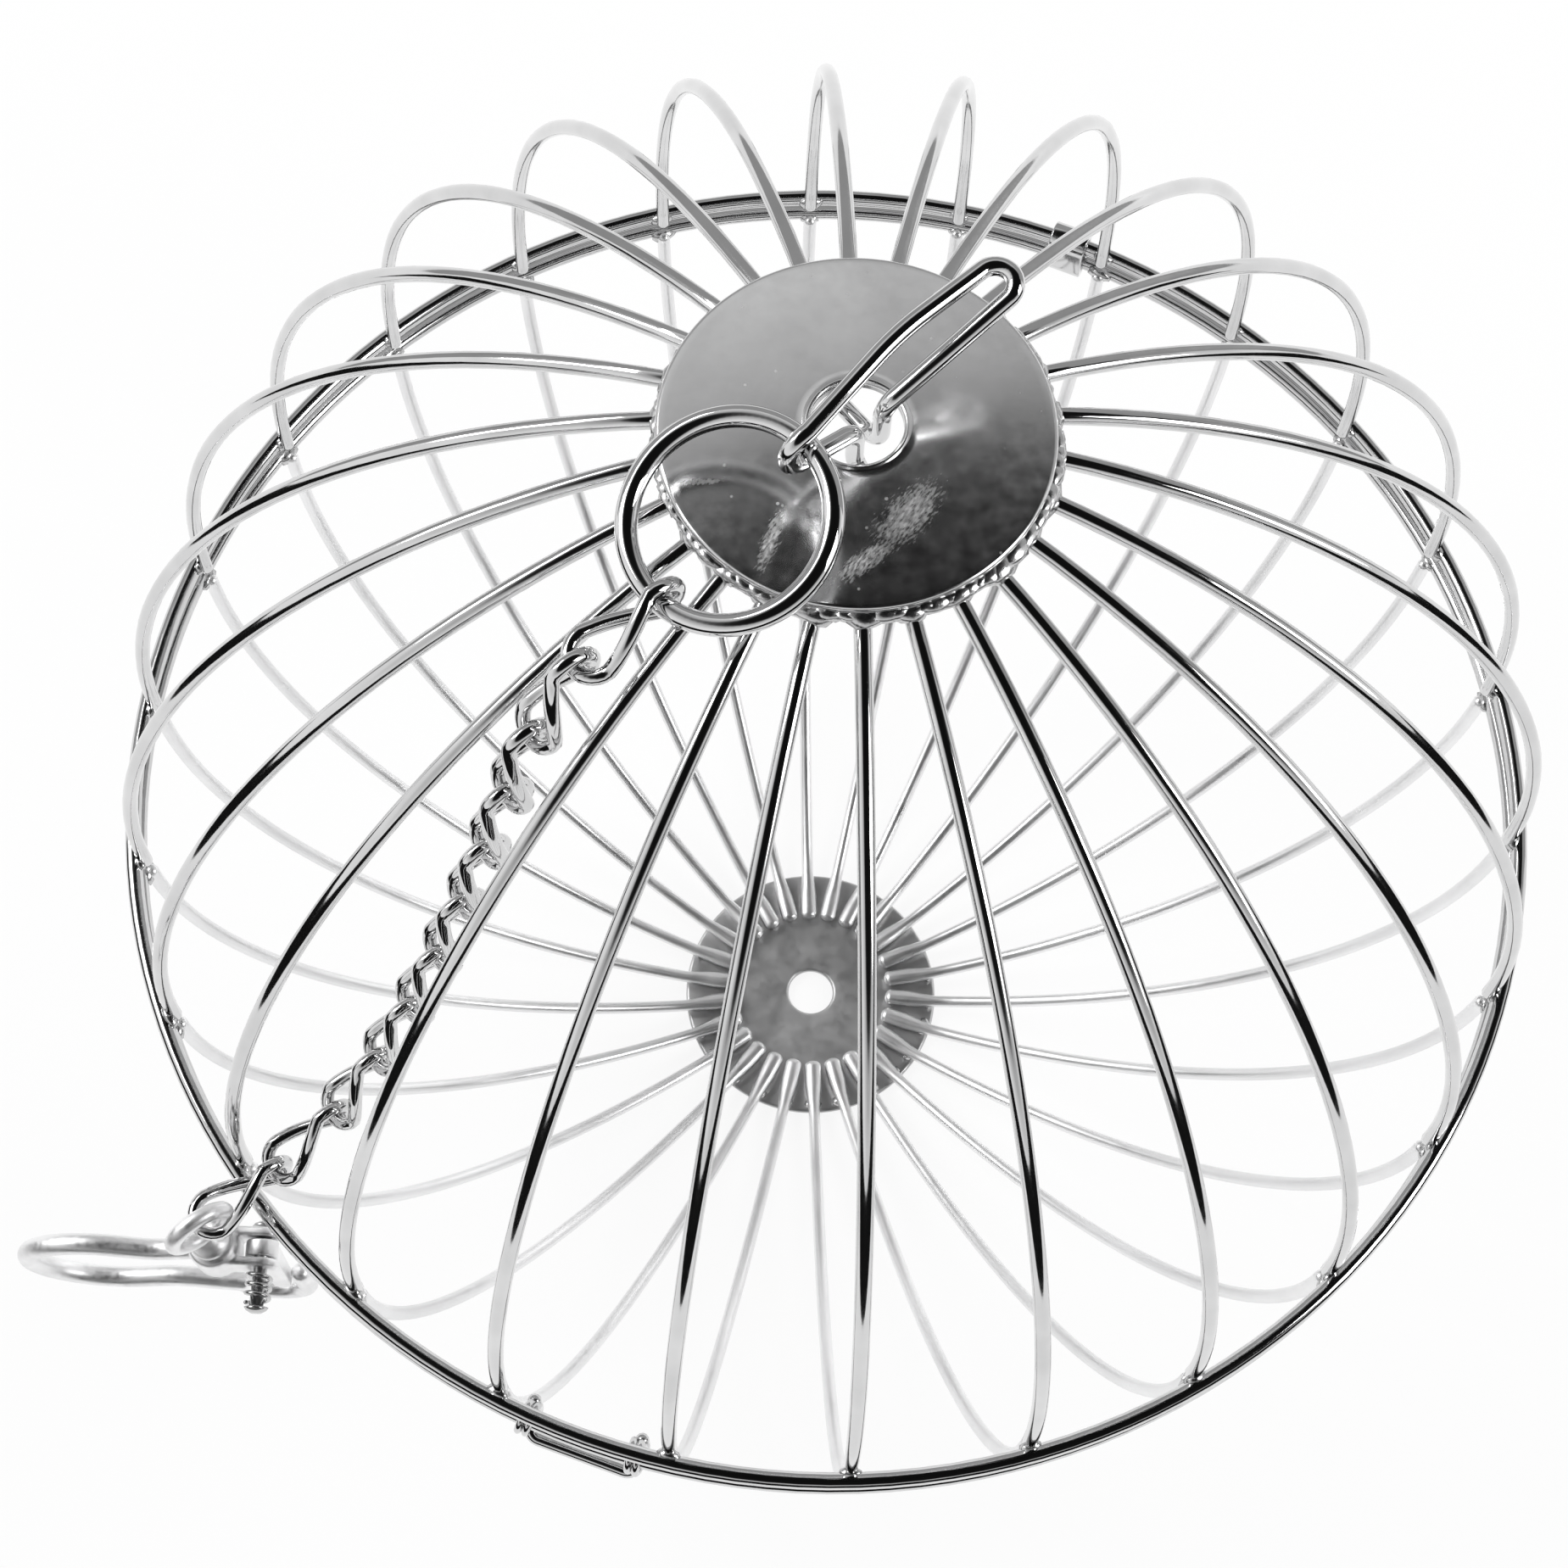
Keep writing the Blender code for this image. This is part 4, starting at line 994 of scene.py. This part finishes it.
bow_start = (BOSS_BORE + math.sqrt(BOSS_RADIUS ** 2 - (SNAP_WIRE / 2) ** 2)) / 2
line = [point for point in bow_line() if point.x >= bow_start or point.z < boss_bottom]
line[0].x = bow_start
body = bmesh.new()
for mesh in (turned("boss", boss_profile(), 48, Matrix.Identity(4)),
             bent_wire("bow", [line], SNAP_WIRE, sides=16), ear(-1), ear(1)):
    body.from_mesh(mesh)
plan = bpy.data.objects.new("snap_casting_plan", mesh_of("snap_casting", body))
skin = plan.modifiers.new("skin", "REMESH")
skin.mode = "VOXEL"
skin.voxel_size = SKIN_VOXEL
melt = plan.modifiers.new("melt", "SMOOTH")
melt.iterations = MELT_ROUNDS
melt.factor = 0.5
casting = finished_mesh(plan)
casting.transform(snap_axes)
casting.shade_smooth()
seat("snap_casting", casting, snap_nickel, "snap_frame", "snap_frame")
print(f"cast the snap: {len(casting.polygons)} faces")

# %% [markdown]
# ## Gate, rivet and spring
# The gate closes the claw. It is a flat lever with a round knuckle on a rivet, and a coil on the rivet's far
# end pushes it shut. The helpers for flat, turned and bent pieces make all three, so nothing new is needed.

# %% Gate
GATE_WIDTH = 2.0 * MM
GATE_TIP_GAP = 0.3 * MM
KNUCKLE_INSET = 0.25 * MM
KNUCKLE_START, KNUCKLE_END = math.radians(-30), math.radians(210)
PIN_RADIUS = 0.75 * MM
PIN_PLAY = 0.25 * MM
tip_x = -CLAW_REACH + SNAP_WIRE / 2 + GATE_TIP_GAP + GATE_WIDTH / 2
tip_z = bow_bottom + CLAW_TIP_RISE / 3
lean = math.atan2(tip_x - pivot_local.x, pivot_local.z - tip_z)
gate_length = math.hypot(tip_x - pivot_local.x, pivot_local.z - tip_z)
outline = arc((0, 0), EAR_RADIUS - KNUCKLE_INSET, KNUCKLE_START, KNUCKLE_END, 24)
outline += arc((0, -gate_length), GATE_WIDTH / 2, math.pi, 2 * math.pi, 14)
hole = arc((0, 0), PIN_RADIUS + PIN_PLAY, 0, 2 * math.pi, 24)[:-1]
pin_axes = snap_axes @ Matrix.Translation(pivot_local)
gate_axes = pin_axes @ Matrix.Rotation(-lean, 4, "Y")
gate = flat_piece("gate_lever", [outline, hole], GATE_THICKNESS, gate_axes)
seat("gate_lever", gate, snap_nickel, "gate", "snap_gate")
print(f"cut the gate, {gate_length / MM:.1f} mm from pin to tip")

# %% Rivet and spring
PIN_HEAD = [
    (AXIS_RADIUS, 0.6 * MM), (0.65 * MM, 0.55 * MM), (1.1 * MM, 0.3 * MM), (1.3 * MM, 0),
]
PIN_NEAR_GAP = 0.3 * MM
PIN_FAR_GAP = 0.6 * MM
SPRING_WIRE = 0.5 * MM
SPRING_TURNS = 3
SPRING_PITCH = 1.0 * MM
ears_out = GATE_THICKNESS / 2 + GATE_SIDE_PLAY + EAR_THICKNESS
near_end = ears_out + PIN_NEAR_GAP
far_end = -(ears_out + PIN_FAR_GAP + SPRING_TURNS * SPRING_PITCH + SPRING_WIRE)
pin_profile = [(radius, near_end + rise) for radius, rise in PIN_HEAD]
pin_profile += [(PIN_RADIUS, near_end), (PIN_RADIUS, far_end)]
pin_profile += [(radius, far_end - rise) for radius, rise in reversed(PIN_HEAD)]
pin = turned("gate_rivet", pin_profile, 28, pin_axes @ Matrix.Rotation(QUARTER, 4, "X"))
seat("gate_rivet", pin, spring_steel, "snap_frame", "gate_pin")

coil_radius = PIN_RADIUS + PIN_PLAY + SPRING_WIRE / 2
coil_start = near_end + SPRING_WIRE / 2
coil = [Vector((coil_radius, coil_start, -2 * coil_radius))]
for k in range(SPRING_TURNS * COIL_STEPS + 1):
    turn = 2 * math.pi * k / COIL_STEPS
    reach = coil_start + SPRING_PITCH * k / COIL_STEPS
    coil.append(Vector((coil_radius * math.cos(turn), reach, coil_radius * math.sin(turn))))
spring = bent_wire("gate_coil", [[pin_axes @ point for point in coil]], SPRING_WIRE, sides=10)
seat("gate_coil", spring, spring_steel, "snap_frame", "gate_spring")
print(f"made the rivet and a spring of {SPRING_TURNS} turns")

# %% [markdown]
# ## The floor
# Bright metal shows its surroundings. The ball stands on a white sweep, so most of what the wire mirrors is
# white. A plain white floor turns grey away from the lamps. This one mixes in a share of even white for the
# camera and for reflections, and the rest of it still takes the ball's shadow.

# %% White sweep
SWEEP_SIZE = 6.0
SWEEP_DROP = 0.2 * MM
SWEEP_TONE = 0.9
EVEN_WHITE = 0.88


def sweep_finish(name):
    """A pale surface that stays near white for the camera and in reflections, but takes a shadow."""
    finish, tree, shader = new_finish(name)
    tint = add_node(tree, "TexNoise", {"Scale": 40.0})
    tones = add_node(tree, "ValToRGB", {"Fac": tint.outputs["Fac"]})
    for element, share in zip(tones.color_ramp.elements, (0.985, 1.0)):
        shade = SWEEP_TONE * share
        element.color = (shade, shade, shade, 1)
    fill(tree, shader, {
        "Base Color": tones.outputs["Color"], "Roughness": 0.9, "Specular IOR Level": 0.0})
    ray = add_node(tree, "LightPath", {}).outputs
    seen = larger(tree, ray["Is Camera Ray"], ray["Is Glossy Ray"])
    seen = larger(tree, seen, ray["Is Transmission Ray"])
    share = add_node(tree, "Math", {0: seen, 1: EVEN_WHITE}, operation="MULTIPLY")
    glow = add_node(tree, "Emission", {})
    blend = add_node(tree, "MixShader", {
        "Fac": share.outputs["Value"], 1: shader.outputs["BSDF"], 2: glow.outputs["Emission"]})
    fill(tree, tree.nodes["Material Output"], {"Surface": blend.outputs["Shader"]})
    return finish


bpy.ops.mesh.primitive_plane_add(size=SWEEP_SIZE, location=(0, 0, -SWEEP_DROP))
floor = bpy.context.object
floor.name = "white_sweep"
floor.data.materials.append(sweep_finish("white_sweep"))
floor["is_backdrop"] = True
print(f"laid a sweep {SWEEP_SIZE:.0f} m across")

# %% [markdown]
# ## Cards
# The dark lines along the wire and the grey of the far ribs are reflections. In a photo studio, cards round
# the table make them, and so they do here: a low black one is bent round the front, and a tall grey one
# stands behind. Darker metal would give the lines too, but it would be wrong under any other light. The
# cards are seen only in reflections and throw no shadow.

# %% Two curved cards
CARD_STEPS = 48
CARDS = [
    # name, radius in m, first and last bearing in degrees, lower and upper edge in m, grey
    ("front_skirt", 0.32, 172, 368, 0.0, 0.135, 0.008),
    ("back_wall", 0.6, 15, 165, 0.1, 0.72, 0.36),
]


def curved_card(name, radius, first, last, low, high):
    """An upright strip of card, bent round the ball between two bearings."""
    body = bmesh.new()
    columns = []
    for turn in evenly(first, last, CARD_STEPS):
        x, y = BALL.x + radius * math.cos(turn), BALL.y + radius * math.sin(turn)
        columns.append((body.verts.new((x, y, low)), body.verts.new((x, y, high))))
    for (a, b), (c, d) in zip(columns, columns[1:]):
        body.faces.new((a, c, d, b))
    return mesh_of(name, body)


for name, radius, first, last, low, high, grey in CARDS:
    mesh = curved_card(name, radius, math.radians(first), math.radians(last), low, high)
    finish, tree, _ = new_finish(name)
    glow = add_node(tree, "Emission", {"Color": (grey, grey, grey, 1)})
    fill(tree, tree.nodes["Material Output"], {"Surface": glow.outputs["Emission"]})
    mesh.materials.append(finish)
    card = bpy.data.objects.new(name, mesh)
    bpy.context.scene.collection.objects.link(card)
    card.visible_camera = False
    card.visible_diffuse = False
    card.visible_shadow = False
    card.visible_transmission = False
    card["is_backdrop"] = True
print(f"set {len(CARDS)} cards")

# %% [markdown]
# ## Light
# Three soft boxes give the plain light. A sun would be simpler, but its small hard glint is wrong on wire.
# The room is white at the level of the table and grows dark overhead, and its darkest part leans to the
# front and right. That is what the top plate mirrors, so its back is pale and its front nearly black.

# %% Soft boxes
SOFT_BOXES = [
    # name, place in m, width and height in m, watts
    ("left_box", (-0.9, 0.3, 0.9), (0.7, 0.5), 9),
    ("back_box", (0.8, 0.95, 0.4), (0.9, 0.4), 9),
    ("right_box", (0.95, -0.3, 0.6), (0.4, 0.6), 5),
]
for name, place, size, watts in SOFT_BOXES:
    lamp = bpy.data.lights.new(name, "AREA")
    lamp.shape = "RECTANGLE"
    lamp.size, lamp.size_y = size
    lamp.energy = watts
    box = bpy.data.objects.new(name, lamp)
    bpy.context.scene.collection.objects.link(box)
    box.location = place
    box.rotation_euler = (BALL - Vector(place)).to_track_quat("-Z", "Y").to_euler()
print(f"hung {len(SOFT_BOXES)} soft boxes")

# %% The room
DARK_LEAN_RIGHT = math.radians(14)
DARK_LEAN_FRONT = math.radians(16)
ROOM_TONES = [
    # height towards the darkest point, grey
    (0.001, 1.0), (0.3, 0.95), (0.42, 0.78), (0.51, 0.7), (0.56, 0.56), (0.61, 0.56),
    (0.65, 0.36), (0.69, 0.1), (0.73, 0.02), (0.78, 0.008), (0.999, 0.006),
]
darkest = Vector((math.tan(DARK_LEAN_RIGHT), -math.tan(DARK_LEAN_FRONT), 1)).normalized()
world = bpy.data.worlds.new("white_room")
bpy.context.scene.world = world
world.use_nodes = True
tree = world.node_tree
where = add_node(tree, "TexCoord", {}).outputs["Generated"]
lift = add_node(tree, "VectorMath", {0: where, 1: darkest}, operation="DOT_PRODUCT")
tones = add_node(tree, "ValToRGB", {"Fac": lift.outputs["Value"]})
steps = tones.color_ramp.elements
for position, grey in ROOM_TONES:
    steps.new(position).color = (grey, grey, grey, 1)
steps.remove(steps[0])
steps.remove(steps[-1])
fill(tree, tree.nodes["Background"], {"Color": tones.outputs["Color"], "Strength": 1.0})
print(f"shaded the room in {len(steps)} steps")

# %% [markdown]
# ## Camera
# The view looks steeply down on the ball from close by, so the far ribs spread and the near ones run
# straight. A camera could be aimed by a constraint, but its roll would be lost. So its place and its three
# axes are written out, as they were worked out from the rims, the plates and the ribs.

# %% Camera
VIEW_FROM = Vector((-4.108, -115.588, 274.602)) * MM
VIEW_RIGHT = Vector((0.9988, 0.04618, 0.01609))
VIEW_UP = Vector((-0.04882, 0.92154, 0.3852))
VIEW_BACK = Vector((0.00296, -0.38553, 0.92269))
FOCAL_PIXELS = 3079.1
FRAME_PIXELS = 1849
lens = bpy.data.cameras.new("view")
lens.sensor_width = 36
lens.lens = lens.sensor_width * FOCAL_PIXELS / FRAME_PIXELS
lens.clip_start = 0.01
camera = bpy.data.objects.new("view", lens)
bpy.context.scene.collection.objects.link(camera)
turn = Matrix((VIEW_RIGHT, VIEW_UP, VIEW_BACK)).transposed().to_4x4()
camera.matrix_world = Matrix.Translation(BALL + VIEW_FROM) @ turn
bpy.context.scene.camera = camera
bpy.context.scene.view_settings.view_transform = "Standard"
print(f"lens {lens.lens:.1f} mm")

# %% [markdown]
# ## The ball's size
# The dressed ball keeps the model's size. The last line measures the box round every piece that shows,
# without the floor and the cards.

# %% Measure and finish
low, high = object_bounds()
